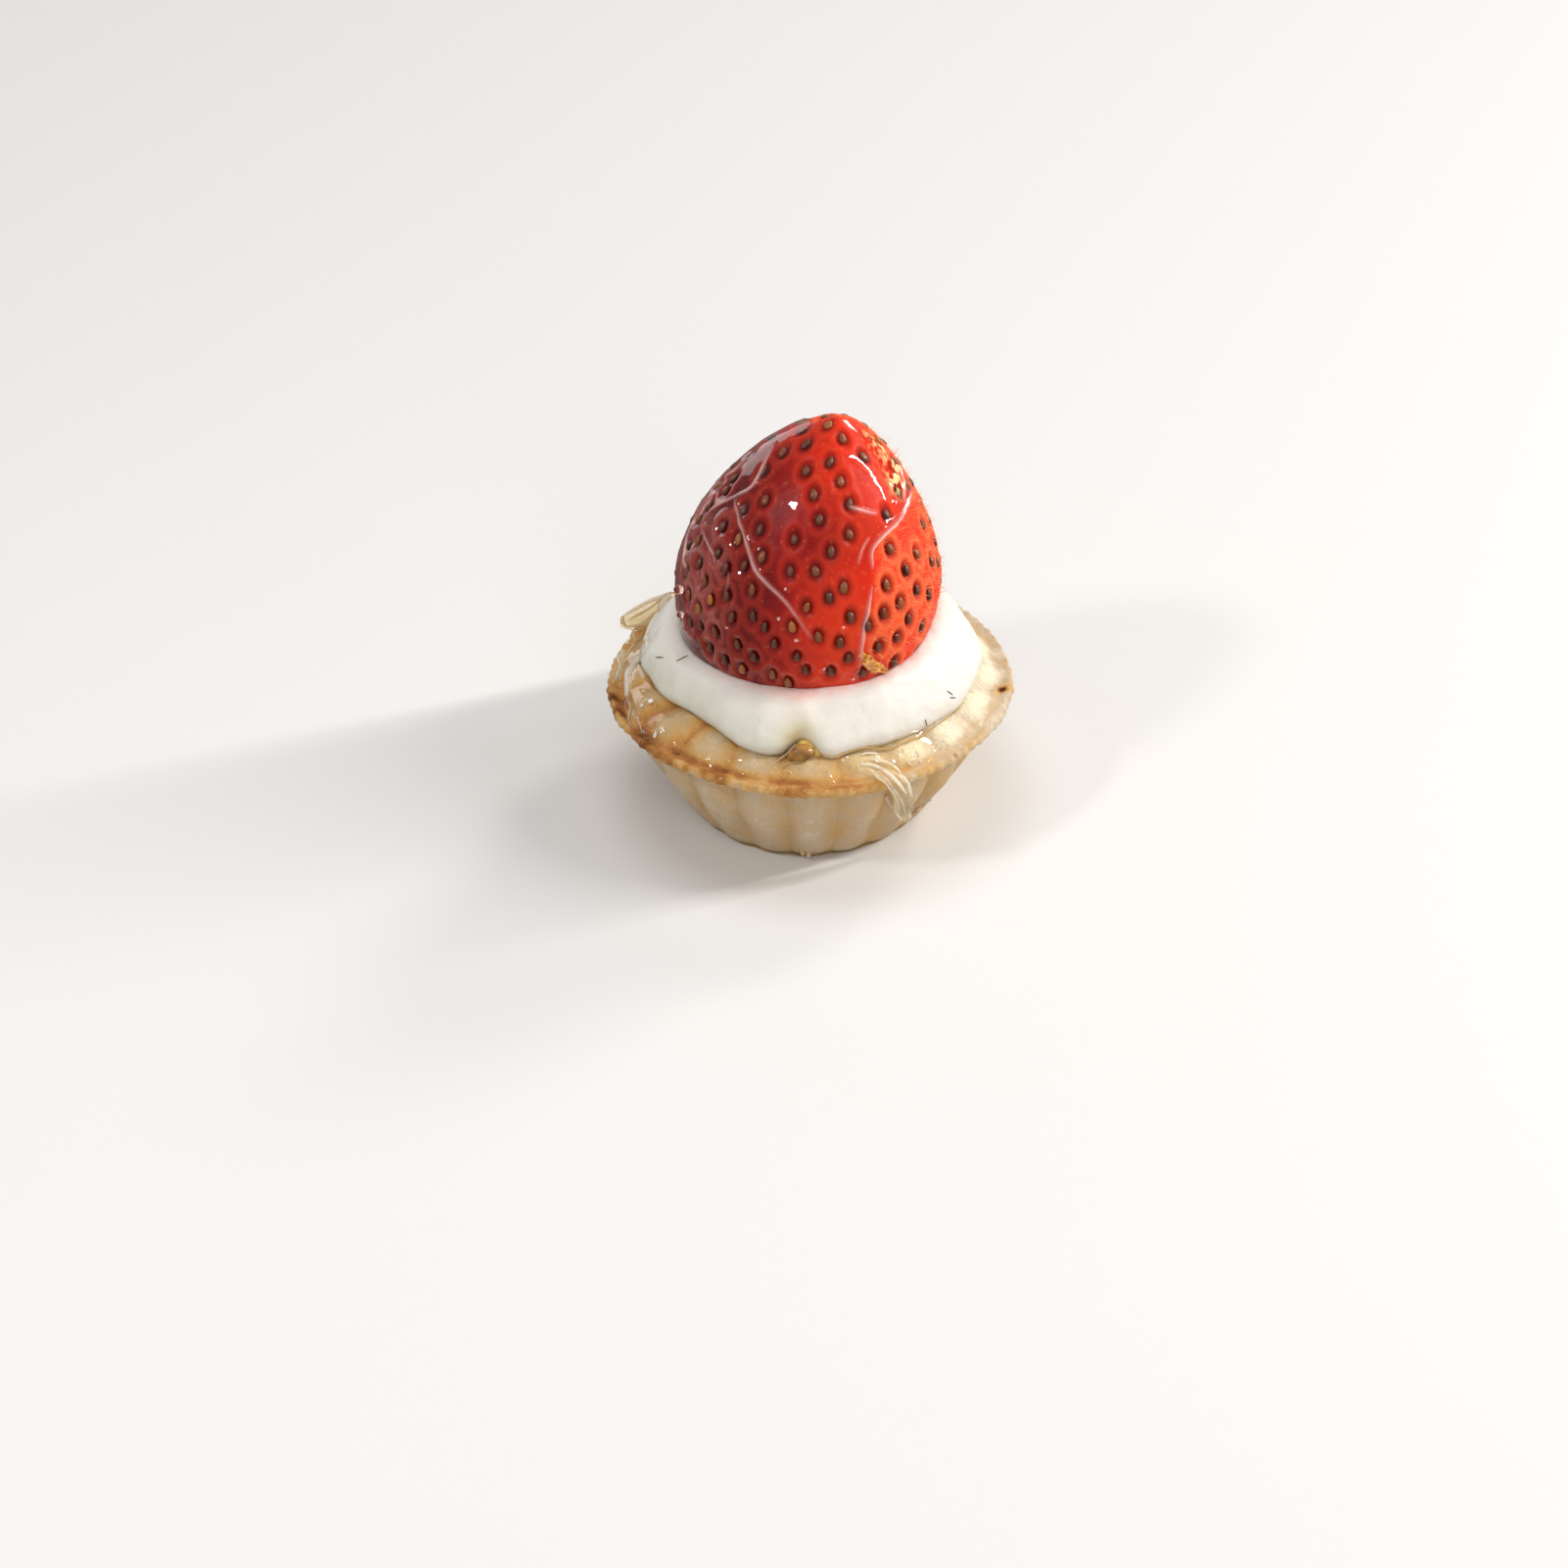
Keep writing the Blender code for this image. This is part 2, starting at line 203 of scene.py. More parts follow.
def round_axis(points):
    """Each point's direction, distance from the axis and height."""
    x, y, z = points.T
    return np.arctan2(y, x), np.hypot(x, y), z


def flute(angle):
    """1 on a flute's rounded ridge and 0 in the sharp valley between two flutes."""
    return np.abs(np.cos(FLUTES * (angle - FLUTE_DIRECTION) / 2))


def bubble(angle, radius):
    along = turn_between(angle, BUBBLE_DIRECTION) * radius
    return BUBBLE_HEIGHT * bell(np.hypot(along, radius - BUBBLE_RADIUS), BUBBLE_SIZE)


def lip(angle):
    return LIP_RADIUS + waves(angle, LIP_WAVES), LIP_HEIGHT + waves(angle, LIP_SAG)


def crust_outside(angle):
    valley = FLUTE_DEPTH * (1 - flute(angle))
    wave = waves(angle, WALL_WAVES)
    wall = [(radius + share * wave - depth * valley, rise) for radius, rise, depth, share in WALL]
    out, level = lip(angle)
    edge = ((-0.9, -1.2), (-0.15, -0.9), (0, -0.35), (-0.35, 0.1))
    return wall + [(out + aside, level + above) for aside, above in edge]


def brim(angle):
    """(radius, height) stations from the lip's top, over the beads, to the shell's inner edge."""
    out, level = lip(angle)
    groove = GROOVE_DEPTH * bell(turn_between(angle, GROOVE_DIRECTION), math.radians(15))
    bead = BEAD_HEIGHT * (flute(angle) - 0.5) * (0.75 - 0.25 * np.cos(angle))
    stations = (
        (out - 1.45, level - 0.15 - groove),
        (out - 2.1, level + 0.15 + 0.4 * bead - groove),
        (out - 3.2, level + 0.85 + bead),
        (out - 4.3, level + 1.25 + 0.8 * bead),
        (BUBBLE_RADIUS, level + 1.4 + 0.3 * bead),
        (INNER_RADIUS, level + 1.3),
    )
    return [(radius, height + bubble(angle, radius)) for radius, height in stations]


def crust_height(angle, radius):
    """Height of the brim at this radius, read between its stations."""
    stations = brim(angle)
    height = stations[0][1]
    for (outer, high), (inner, low) in zip(stations, stations[1:]):
        share = np.clip((outer - radius) / (outer - inner), 0, 1)
        height = np.where(radius <= outer, high + (low - high) * share, height)
    return height


def berry_rise(height):
    """0 at the strawberry's widest level and 1 at its tip."""
    return np.clip((height - BERRY_WIDEST) / (BERRY_TOP - BERRY_WIDEST), 0, 1)


def berry_middle(height):
    below = BERRY_SHIFT * ((BERRY_WIDEST - height) / (BERRY_WIDEST - BERRY_BASE)) ** 2
    lean = np.where(height < BERRY_WIDEST, below, BERRY_LEAN * berry_rise(height) ** 2.9)
    return BERRY_CENTRE[0] + lean, BERRY_CENTRE[1] + 0 * lean


def berry_radius(angle, height):
    tuck = np.clip((BERRY_WIDEST - height) / BERRY_TUCK, -1, 1)
    below = np.sqrt(np.maximum(0, 1 - tuck**2))
    above = np.maximum(0, 1 - berry_rise(height) ** 1.6) ** 0.69
    share = np.where(height < BERRY_WIDEST, below, above)
    return share * (BERRY_RADIUS + waves(angle, BERRY_WAVES))


def berry_point(angle, height, out=0.0):
    return polar(angle, berry_radius(angle, height) + out, height, berry_middle(height))


def cream_foot(angle):
    return CREAM_RADIUS + bumps(angle, CREAM_LOBES)


def cream_top(angle):
    return CREAM_TOP + CREAM_SLOPE * np.cos(angle) + bumps(angle, CREAM_MOUNDS)


# ---------------------------------------------------------------- meshing


def make_mesh(name, points, faces, material, values=None):
    """A smooth-shaded object from points in millimetres, with a named value on each point."""
    mesh = bpy.data.meshes.new(name)
    mesh.from_pydata((np.asarray(points) * MM).tolist(), [], faces)
    mesh.materials.append(material)
    for key, numbers in (values or {}).items():
        layer = mesh.attributes.new(key, "FLOAT", "POINT")
        layer.data.foreach_set("value", np.asarray(numbers, np.float32))
    mesh.shade_smooth()
    mesh.update()
    made = bpy.data.objects.new(name, mesh)
    bpy.context.scene.collection.objects.link(made)
    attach(made, "root")
    return made


def grid_faces(rows, columns, wrap=False):
    """Quads over a grid of points that is stored row by row; row to row and column to column
    turn anticlockwise as seen from outside."""
    shape = np.arange(rows - 1), np.arange(columns if wrap else columns - 1)
    row, column = np.meshgrid(*shape, indexing="ij")
    after = (column + 1) % columns
    low, high = row * columns, (row + 1) * columns
    corners = [low + column, low + after, high + after, high + column]
    return np.stack(corners, axis=-1).reshape(-1, 4).tolist()


def fan(ring, pole, flip):
    """Triangles from a ring of points to its pole."""
    after = np.roll(ring, -1)
    order = (after, ring) if flip else (ring, after)
    return [(pole, int(a), int(b)) for a, b in zip(*order)]


def closed_faces(rings, count, below, above):
    """Faces of a form of rings of count points, closed at the points below and above."""
    ring = np.arange(count)
    faces = grid_faces(rings, count, wrap=True)
    return faces + fan(ring, below, True) + fan(ring + (rings - 1) * count, above, False)


def capped_faces(rings, count):
    """Faces of a form of rings of count points, with one many-sided face over each end."""
    last = (rings - 1) * count
    ends = [list(range(count))[::-1], list(range(last, last + count))]
    return grid_faces(rings, count, wrap=True) + ends


def turned(knots_of, count, rows):
    """Points and faces of a closed form. knots_of(angles) gives the outline's knots as an array
    of (knot, angle, 3), from the pole below to the pole above; rows is how finely to cut it."""
    curve = spline(knots_of(circle(count)), rows)
    rings = curve[1:-1].reshape(-1, 3)
    points = np.concatenate([rings, [curve[0].mean(0), curve[-1].mean(0)]])
    return points, closed_faces(rows - 2, count, len(rings), len(rings) + 1)


def gather(parts):
    """One set of points and faces from several."""
    points, faces, start = [], [], 0
    for some_points, some_faces in parts:
        points.append(some_points)
        faces += [tuple(corner + start for corner in face) for face in some_faces]
        start += len(some_points)
    return np.concatenate(points), faces


def trimmed(points, faces, keep):
    """The faces whose corners are all kept, the points that they use, and those points' places."""
    faces = [face for face in faces if all(keep[corner] for corner in face)]
    used = np.unique(np.concatenate([np.asarray(face) for face in faces]))
    index = np.full(len(points), -1)
    index[used] = np.arange(len(used))
    return points[used], [tuple(int(index[corner]) for corner in face) for face in faces], used


def normals(points, faces):
    """Unit normals of points from their quads' and triangles' corners."""
    total = np.zeros_like(points)
    quads = np.array([face if len(face) == 4 else (*face, face[2]) for face in faces])
    a, b, c, d = (points[quads[:, corner]] for corner in range(4))
    cross = np.cross(c - a, d - b)
    for corner in range(4):
        np.add.at(total, quads[:, corner], cross)
    return total / np.maximum(np.linalg.norm(total, axis=1, keepdims=True), 1e-12)


# ---------------------------------------------------------------- camera and photograph places


def add_camera():
    data = bpy.data.cameras.new("camera")
    data.lens, data.sensor_width = CAMERA_LENS, CAMERA_SENSOR
    camera = bpy.data.objects.new("camera", data)
    camera.location = CAMERA_PLACE
    camera.rotation_euler = CAMERA_EULER
    bpy.context.scene.collection.objects.link(camera)
    bpy.context.scene.camera = camera


def sight(pixel):
    """Unit direction from the camera through a pixel of the photograph."""
    across, up = pixel[0] - PHOTO_MIDDLE, PHOTO_MIDDLE - pixel[1]
    ray = CAMERA_AXES @ np.array([across * PIXEL, up * PIXEL, -1.0])
    return ray / np.linalg.norm(ray)


def pixel_row(place):
    """How far down the photograph a place shows, in pixels."""
    local = (place - EYE) @ CAMERA_AXES
    return PHOTO_MIDDLE + local[1] / local[2] / PIXEL


def land(tree, pixel):
    """(place, normal) where the line of sight through a pixel meets a surface, or None."""
    place, normal, _, _ = tree.ray_cast(Vector(EYE), Vector(sight(pixel)))
    return None if place is None else (np.array(place), np.array(normal))


def lay(tree, pixels, count):
    """A smooth line of pixels laid on a surface: places and normals."""
    found = [land(tree, pixel) for pixel in spline(np.array(pixels, float), count)]
    found = [hit for hit in found if hit is not None]
    return np.array([hit[0] for hit in found]), np.array([hit[1] for hit in found])


def tree_of(*parts):
    """A tree for casting rays at one or more sets of points and faces."""
    points, faces = gather(parts)
    return BVHTree.FromPolygons([Vector(point) for point in points], faces)


def spot(points, tree, pixel, size):
    """A bell of each point's distance to the place that a pixel shows."""
    return bell(np.linalg.norm(points - land(tree, pixel)[0], axis=1), size)


# ---------------------------------------------------------------- materials


class Shade:
    """A material under construction, with short calls for the nodes that it needs."""

    def __init__(self, name):
        self.material = bpy.data.materials.new(name)
        self.material.use_nodes = True
        self.tree = self.material.node_tree
        self.tree.nodes.clear()
        self.output = self.tree.nodes.new("ShaderNodeOutputMaterial")
        self.place = self.tree.nodes.new("ShaderNodeTexCoord").outputs["Object"]

    def node(self, kind, inputs=None, **settings):
        made = self.tree.nodes.new(kind)
        for key, value in settings.items():
            setattr(made, key, value)
        for key, value in (inputs or {}).items():
            self.feed(made.inputs[key], value)
        return made

    def feed(self, socket, value):
        if isinstance(value, bpy.types.NodeSocket):
            self.tree.links.new(value, socket)
        elif isinstance(value, tuple) and len(value) == 3 and socket.type == "RGBA":
            socket.default_value = (*value, 1.0)
        else:
            socket.default_value = value

    def value(self, name):
        return self.node("ShaderNodeAttribute", attribute_name=name).outputs["Fac"]

    def noise(self, size, detail=3.0, roughness=0.55):
        """Noise with features of about this size in millimetres, mostly 0.3 to 0.7."""
        made = self.node("ShaderNodeTexNoise", {"Vector": self.place, "Scale": 1 / (size * MM)})
        made.inputs["Detail"].default_value = detail
        made.inputs["Roughness"].default_value = roughness
        return made.outputs["Fac"]

    def math(self, operation, first, second=0.0, clamp=False):
        settings = {"operation": operation, "use_clamp": clamp}
        return self.node("ShaderNodeMath", {0: first, 1: second}, **settings).outputs[0]

    def times(self, first, second, clamp=False):
        return self.math("MULTIPLY", first, second, clamp)

    def step(self, value, low, high):
        made = self.node("ShaderNodeMapRange", {"Value": value, "From Min": low, "From Max": high})
        made.interpolation_type = "SMOOTHSTEP"
        return made.outputs["Result"]

    def span(self, value, low, high, to_low, to_high):
        made = self.node("ShaderNodeMapRange", {"Value": value, "From Min": low, "From Max": high})
        made.inputs["To Min"].default_value, made.inputs["To Max"].default_value = to_low, to_high
        return made.outputs["Result"]

    def vary(self, noise, low, high, reach=0.2):
        """Turns a noise's usual range, from 0.5 - reach to 0.5 + reach, into low to high."""
        return self.span(noise, 0.5 - reach, 0.5 + reach, low, high)

    def mix(self, share, first, second, blend="MIX"):
        made = self.node("ShaderNodeMix", data_type="RGBA", blend_type=blend)
        self.feed(made.inputs["Factor"], share)
        self.feed(made.inputs[6], first)
        self.feed(made.inputs[7], second)
        return made.outputs[2]

    def ramp(self, value, stops):
        """Colours by value; each stop is a value and an sRGB colour."""
        made = self.node("ShaderNodeValToRGB", {"Fac": value})
        elements = made.color_ramp.elements
        while len(elements) < len(stops):
            elements.new(0.5)
        for element, (place, *colour) in zip(elements, stops):
            element.position = place
            element.color = (*srgb(*colour), 1.0)
        return made.outputs["Color"]

    def bump(self, height, distance, strength):
        inputs = {"Height": height, "Distance": distance * MM, "Strength": strength}
        return self.node("ShaderNodeBump", inputs).outputs["Normal"]

    def blend(self, share, first, second):
        made = self.node("ShaderNodeMixShader", {0: share})
        self.tree.links.new(first, made.inputs[1])
        self.tree.links.new(second, made.inputs[2])
        return made.outputs[0]

    def surface(self, colour, roughness, under=(), coat=(), specular=None, **more):
        """A Principled shader. under is its subsurface weight, radius and scale in metres, and
        coat is its coat's weight and roughness."""
        inputs = {"Base Color": colour, "Roughness": roughness, **more}
        names = ("Subsurface Weight", "Subsurface Radius", "Subsurface Scale")
        inputs.update(zip(names, under))
        inputs.update(zip(("Coat Weight", "Coat Roughness"), coat))
        if specular is not None:
            inputs["Specular IOR Level"] = specular
        return self.node("ShaderNodeBsdfPrincipled", inputs).outputs[0]

    def clear(self, colour):
        return self.node("ShaderNodeBsdfTransparent", {"Color": colour}).outputs[0]

    def passing(self):
        """1 for the rays that shadow and soft light need, which go straight through glaze."""
        path = self.node("ShaderNodeLightPath").outputs
        return self.math("MAXIMUM", path["Is Shadow Ray"], path["Is Diffuse Ray"])

    def gloss(self, below, share, roughness, ior, normal):
        """A shader under a mirror by Fresnel, which share weakens."""
        inputs = {"Color": WHITE, "Roughness": roughness, "Normal": normal}
        glossy = self.node("ShaderNodeBsdfGlossy", inputs).outputs[0]
        mirror = self.node("ShaderNodeFresnel", {"IOR": ior, "Normal": normal}).outputs[0]
        return self.blend(self.times(mirror, share), below, glossy)

    def finish(self, shader):
        self.tree.links.new(shader, self.output.inputs["Surface"])
        return self.material


def srgb(red, green, blue):
    """A linear colour from sRGB numbers up to 255."""
    return tuple(
        value / 255 / 12.92 if value <= 10 else ((value / 255 + 0.055) / 1.055) ** 2.4
        for value in (red, green, blue)
    )


def crust_material():
    shade = Shade("baked_crust")
    # the brownness value holds the crust's baking together with painted shade in its valleys,
    # crease and groove
    bake_and_shade, wet = shade.value("bake_and_shade"), shade.value("wet")
    grain = shade.noise(0.35, 3.0, 0.7)
    tone = shade.math("ADD", bake_and_shade, shade.vary(shade.noise(2.2, 4.0, 0.6), -0.06, 0.06))
    tone = shade.math("ADD", tone, shade.vary(grain, -0.07, 0.07), clamp=True)
    colour = shade.ramp(
        tone,
        ((0.0, 246, 234, 206), (0.22, 206, 184, 154), (0.42, 212, 168, 102))
        + ((0.62, 184, 124, 62), (0.82, 132, 78, 32), (1.0, 62, 32, 14)),
    )
    specks = shade.step(shade.noise(0.55, 1.0, 0.5), 0.66, 0.74)
    colour = shade.mix(shade.times(specks, 0.25), colour, srgb(240, 224, 190))
    wetted = shade.mix(1.0, colour, srgb(255, 240, 200), "MULTIPLY")
    colour = shade.mix(shade.times(wet, 0.75), colour, wetted)
    height = shade.math("ADD", shade.times(grain, 0.8), shade.noise(0.14, 2.0, 0.6))
    return shade.finish(
        shade.surface(
            colour,
            shade.span(wet, 0, 1, 0.78, 0.35),
            Normal=shade.bump(height, 0.20, 0.9),
            coat=(shade.times(wet, 0.8), 0.08),
            under=(0.12, (1.0, 0.5, 0.25), 0.0008),
            specular=0.35,
        )
    )


def cream_material():
    shade = Shade("set_cream")
    film, stain = shade.value("film"), shade.value("stain")
    cloud = shade.noise(3.0, 3.0, 0.5)
    colour = shade.mix(shade.vary(cloud, 0, 0.35, 0.15), srgb(231, 225, 216), srgb(222, 215, 203))
    veil = shade.mix(shade.vary(cloud, 0.2, 0.9), srgb(216, 216, 202), srgb(194, 194, 170))
    colour = shade.mix(shade.times(film, 0.75), colour, veil)
    pink = shade.times(stain, shade.vary(shade.noise(1.0, 3.0), 0.5, 1.2), clamp=True)
    colour = shade.mix(pink, colour, srgb(240, 176, 160))
    tint = shade.times(shade.value("olive"), shade.vary(cloud, 0.45, 0.9), clamp=True)
    return shade.finish(
        shade.surface(
            shade.mix(tint, colour, srgb(204, 184, 126)),
            0.55,
            Normal=shade.bump(shade.noise(1.3, 3.0, 0.5), 0.24, 0.5),
            coat=(shade.span(film, 0, 1, 0.06, 0.35), 0.22),
            under=(0.5, (1.0, 0.85, 0.6), 0.0022),
        )
    )


def berry_material():
    shade = Shade("strawberry_skin")
    dry, pit, rim = shade.value("dry"), shade.value("pit"), shade.value("rim")
    cloud = shade.noise(5.0, 3.0, 0.55)
    fine = shade.noise(0.5, 3.0, 0.6)
    ripe = shade.mix(shade.vary(cloud, 0, 1, 0.15), srgb(198, 12, 8), srgb(150, 6, 6))
    # orange towards the right and the front centre: painted light
    painted_glow = shade.times(shade.value("painted_glow"), shade.vary(cloud, 0.7, 1.1), clamp=True)
    # deep red over the left flank is painted shade; the patch is the skin's own darker red
    ripe = shade.mix(shade.value("shade_and_dark_patch"), shade.mix(painted_glow, ripe, srgb(246, 70, 20)), srgb(88, 4, 12))
    bare = shade.mix(shade.vary(fine, 0, 1, 0.15), srgb(224, 42, 22), srgb(236, 78, 42))
    colour = shade.mix(dry, ripe, bare)
    pale = shade.mix(dry, srgb(246, 74, 40), srgb(252, 142, 84))
    # paler on the hollows' raised rims, most on the bare flank: painted light
    colour = shade.mix(shade.times(rim, shade.span(dry, 0, 1, 0.20, 0.38)), colour, pale)
    # dark red in each seed's hollow: painted shade
    colour = shade.mix(shade.times(pit, 0.75), colour, srgb(122, 6, 6))
    flecks = shade.step(shade.noise(0.6, 0.0), 0.70, 0.76)
    return shade.finish(
        shade.surface(
            shade.mix(shade.times(flecks, 0.16), colour, srgb(236, 120, 64)),
            shade.span(dry, 0, 1, 0.36, 0.5),
            Normal=shade.bump(shade.noise(0.28, 2.0, 0.6), 0.05, 0.5),
            under=(0.45, (1.0, 0.16, 0.08), 0.0025),
            specular=0.12,
        )
    )


def seed_material():
    shade = Shade("seed_husk")
    stops = ((0.0, 44, 16, 10), (0.45, 82, 34, 16), (0.75, 128, 70, 26), (1.0, 166, 104, 38))
    colour = shade.ramp(shade.value("tone"), stops)
    return shade.finish(
        shade.surface(
            shade.mix(shade.times(shade.value("rise"), 0.25), colour, srgb(176, 104, 60)),
            shade.vary(shade.noise(0.3), 0.35, 0.5),
            Normal=shade.bump(shade.noise(0.15), 0.04, 0.6),
            coat=(0.3, 0.15),
        )
    )


def glaze_material(name, tint, pale, gold=None):
    """Clear set glaze that is laid over something: a clear film that mirrors by Fresnel, its thick
    parts tinted and its edges milky. Given gold, its thick parts carry painted golden glints, and a
    white value paints white highlights into its milk."""
    shade = Shade(name)
    deep, edge = shade.value("deep"), shade.value("edge")
    waver = shade.noise(1.6, 2.0, 0.5)
    normal = shade.bump(waver, 0.10, 0.25)
    seen = shade.math("SUBTRACT", 1.0, shade.passing())
    stained = shade.times(deep, shade.vary(waver, 0.75, 1.15), clamp=True)
    clear = shade.clear(shade.mix(shade.times(stained, seen), WHITE, tint))
    film = shade.gloss(clear, seen, 0.025, 1.44, normal)
    # gold paints golden glints on the thick glaze
    if gold:
        glint = shade.step(shade.noise(0.9, 2.0, 0.5), 0.44, 0.58)
        share = shade.times(shade.times(deep, glint), 0.9)
        film = shade.blend(share, film, shade.surface(gold, 0.12, Normal=normal))
    # the white value paints white highlights into the milk
    colour = shade.mix(shade.value("white_and_glint"), pale, srgb(255, 250, 244))
    milk = shade.surface(colour, 0.12, Normal=normal, under=(0.4, (1.0, 0.6, 0.5), 0.0006))
    return shade.finish(shade.blend(edge, film, milk))


def solid_glaze_material():
    """The thick pieces of glaze: clear amber jelly that bends light a little, with pale rims. A
    faint milk over the whole piece is painted highlight, and the pale rims are partly so.
    """
    shade = Shade("amber_glaze")
    edge = shade.value("edge")
    normal = shade.bump(shade.noise(1.2, 2.0, 0.5), 0.16, 0.5)
    amber = shade.mix(edge, srgb(255, 252, 244), srgb(255, 238, 190))
    glass = {"Color": amber, "Roughness": 0.02, "IOR": 1.12, "Normal": normal}
    glass = shade.node("ShaderNodeBsdfGlass", glass).outputs[0]
    body = shade.blend(shade.passing(), glass, shade.clear(amber))
    behind = shade.node("ShaderNodeNewGeometry").outputs["Backfacing"]
    body = shade.gloss(body, shade.math("SUBTRACT", 1.0, behind), 0.03, 1.5, normal)
    milk = shade.surface(srgb(255, 244, 214), 0.12, under=(0.6, (1.0, 0.7, 0.4), 0.001))
    # milk a little everywhere and most on the rims: painted highlights in part
    return shade.finish(shade.blend(shade.span(edge, 0, 1, 0.10, 0.78), body, milk))


def speck_material(name, colours, roughness=0.7):
    shade = Shade(name)
    colour = shade.mix(shade.vary(shade.noise(0.4), 0, 1, 0.15), *colours)
    return shade.finish(shade.surface(colour, roughness))


# ---------------------------------------------------------------- the crust


def crust_knots(angle):
    """Outline knots of the crust for an array of angles: (knot, angle, 3)."""
    wall = crust_outside(angle)
    # the base's corner is cut twice so that the wall meets the flat base crisply
    stations = [(wall[0][0] - 0.5, wall[0][1])] + wall + brim(angle)
    stations += [(INNER_RADIUS - 0.9, 13.4), (12.0, FLOOR_HEIGHT)]
    rings = [polar(angle, radius, height) for radius, height in stations]
    return np.stack([polar(angle, 0, 0)] + rings + [polar(angle, 0, FLOOR_HEIGHT)])


def crust_bake_and_shade(points, angle, radius, height):
    """How brown the crust is at each point, from 0 to 1: its baking, with painted shade in the
    flute valleys, the crease, between the beads and in the groove at the left; most of it is
    browner towards the left.
    """
    out, level = lip(angle)
    right = 0.5 + 0.5 * np.cos(angle)
    bead = flute(angle)
    on_wall = smooth(height, level - 0.9, level - 1.3)
    above = smooth(height, level - 1.0, level - 0.5)
    # darker in the wall's flute valleys: painted shade
    wall = 0.23 + 0.07 * right**3 + 0.03 * rough(points, 3.0, 3, 3) + 0.10 * (1 - bead) ** 0.8
    ring = bell(radius - (out - 0.25), 0.80) * smooth(height, level - 1.9, level - 1.2)
    edge = ring * (0.80 - 0.54 * right) * (0.85 + 0.45 * noise(points, 1.6, 4))
    # browner in the crease behind the lip, partly painted shade
    crease = bell(radius - (out - 1.7), 0.40) * (0.54 - 0.32 * right)
    crease = crease * smooth(height, level - 0.9, level - 0.6)
    crease = crease * (0.8 + 0.5 * noise(points, 1.3, 14)) * (1 - 0.8 * near_way(angle, 158, 14))
    # browner between the beads: painted shade in the hollows between them
    between = smooth(radius, out - 1.4, out - 2.2) * (0.36 - 0.27 * right) * (1.0 - bead)
    on_top = smooth(height, level - 0.5, level + 0.2) * smooth(radius, out - 0.4, out - 1.2)
    top = on_top * (0.20 - 0.19 * right + 0.05 * rough(points, 2.0, 3, 6))
    left = 0.07 * near_way(angle, 235, 32) * on_top
    # single brown places: direction, half width, how far inside the lip, its half width, strength;
    # the first is painted shade in the groove at the left
    marks = ((194, 12, 1.2, 0.6, 0.26), (-88, 14, 2.2, 0.7, 0.08), (-83, 13, 0.9, 0.5, 0.20))
    marked = sum(
        strength * near_way(angle, way, half_width) * bell(radius - (out - inside), reach)
        for way, half_width, inside, reach, strength in marks
    )
    blister = bell(turn_between(angle, BUBBLE_DIRECTION) * radius - 0.1, 1.7)
    blister = blister * bell(radius - BUBBLE_RADIUS, 1.1) * (0.85 + 0.4 * noise(points, 0.9, 15))
    calm = 1 - 0.5 * near_way(angle, 166, 14)
    on_ring = between + left + marked + 0.50 * blister
    return np.clip(on_wall * wall + calm * (edge + crease + above * on_ring) + top, 0, 1)


def build_crust():
    columns, rows = ((690, 140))
    points, faces = turned(crust_knots, columns, rows)
    around, radius, height = round_axis(points)
    out, level = lip(around)
    facing = normals(points, faces)
    shown = smooth(radius, 13.0, 13.6)
    # a fine irregular scallop on the lip's edge
    near_lip = bell(radius - out, 0.55) * smooth(height, level - 1.4, level - 0.6)
    pitch = 96 * around + 3.0 * noise(points, 3.0, 8)
    scallop = near_lip * (0.10 * np.cos(pitch) + 0.10 * noise(points, 0.9, 9))
    # baked dough: soft unevenness, grain, and small open pits; knobbly on the brim
    on_brim = smooth(radius, out - 1.3, out - 2.2) * smooth(height, 14.0, 15.0)
    on_wall = smooth(height, 0.4, 2.0) * smooth(height, level - 1.2, level - 2.6) * shown
    ridge = flute(around)
    soft = 0.12 * rough(points, 3.2, 2, 1) + 0.12 * on_brim * rough(points, 1.5, 2, 12)
    soft = soft + 0.24 * on_brim * (ridge - 0.55) - 0.5 * on_wall * (1 - ridge) ** 1.1
    grain = 0.055 * rough(points, 0.7, 3, 2)
    pits = -0.14 * on_brim * smooth(noise(points, 0.9, 5), 0.62, 0.85)
    lift = smooth(height, 0.0, 0.5) * shown * (soft + grain + pits) + shown * scallop
    # under the cream it only sinks, and the inside stays as it is
    lift = np.where(radius < 17.5, np.minimum(lift, 0.0) * smooth(radius, 16.0, 17.5), lift)
    lift = np.where((height > FLOOR_HEIGHT) | (radius > 13), lift, 0)
    points = points + facing * lift[:, None]
    tree = tree_of((points, faces))
    bake_and_shade = crust_bake_and_shade(points, around, radius, height)
    bake_and_shade += 0.85 * spot(points, tree, BURN_PIXEL, 0.36) + 0.14 * spot(points, tree, BURN_PIXEL, 0.9)
    # where glaze has soaked in: the left and front of the brim, less at the right
    wet = smooth(radius, out - 1.1, out - 1.7) * smooth(height, 14.2, 14.9)
    wet = wet * np.clip(near_way(around, 200, 34) + near_way(around, -75, 16) + 0.12, 0, 1)
    piece = make_mesh("crust_shell", points, faces, crust_material(), {"bake_and_shade": bake_and_shade, "wet": wet})
    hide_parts("crust")
    return points, faces


# ---------------------------------------------------------------- the cream


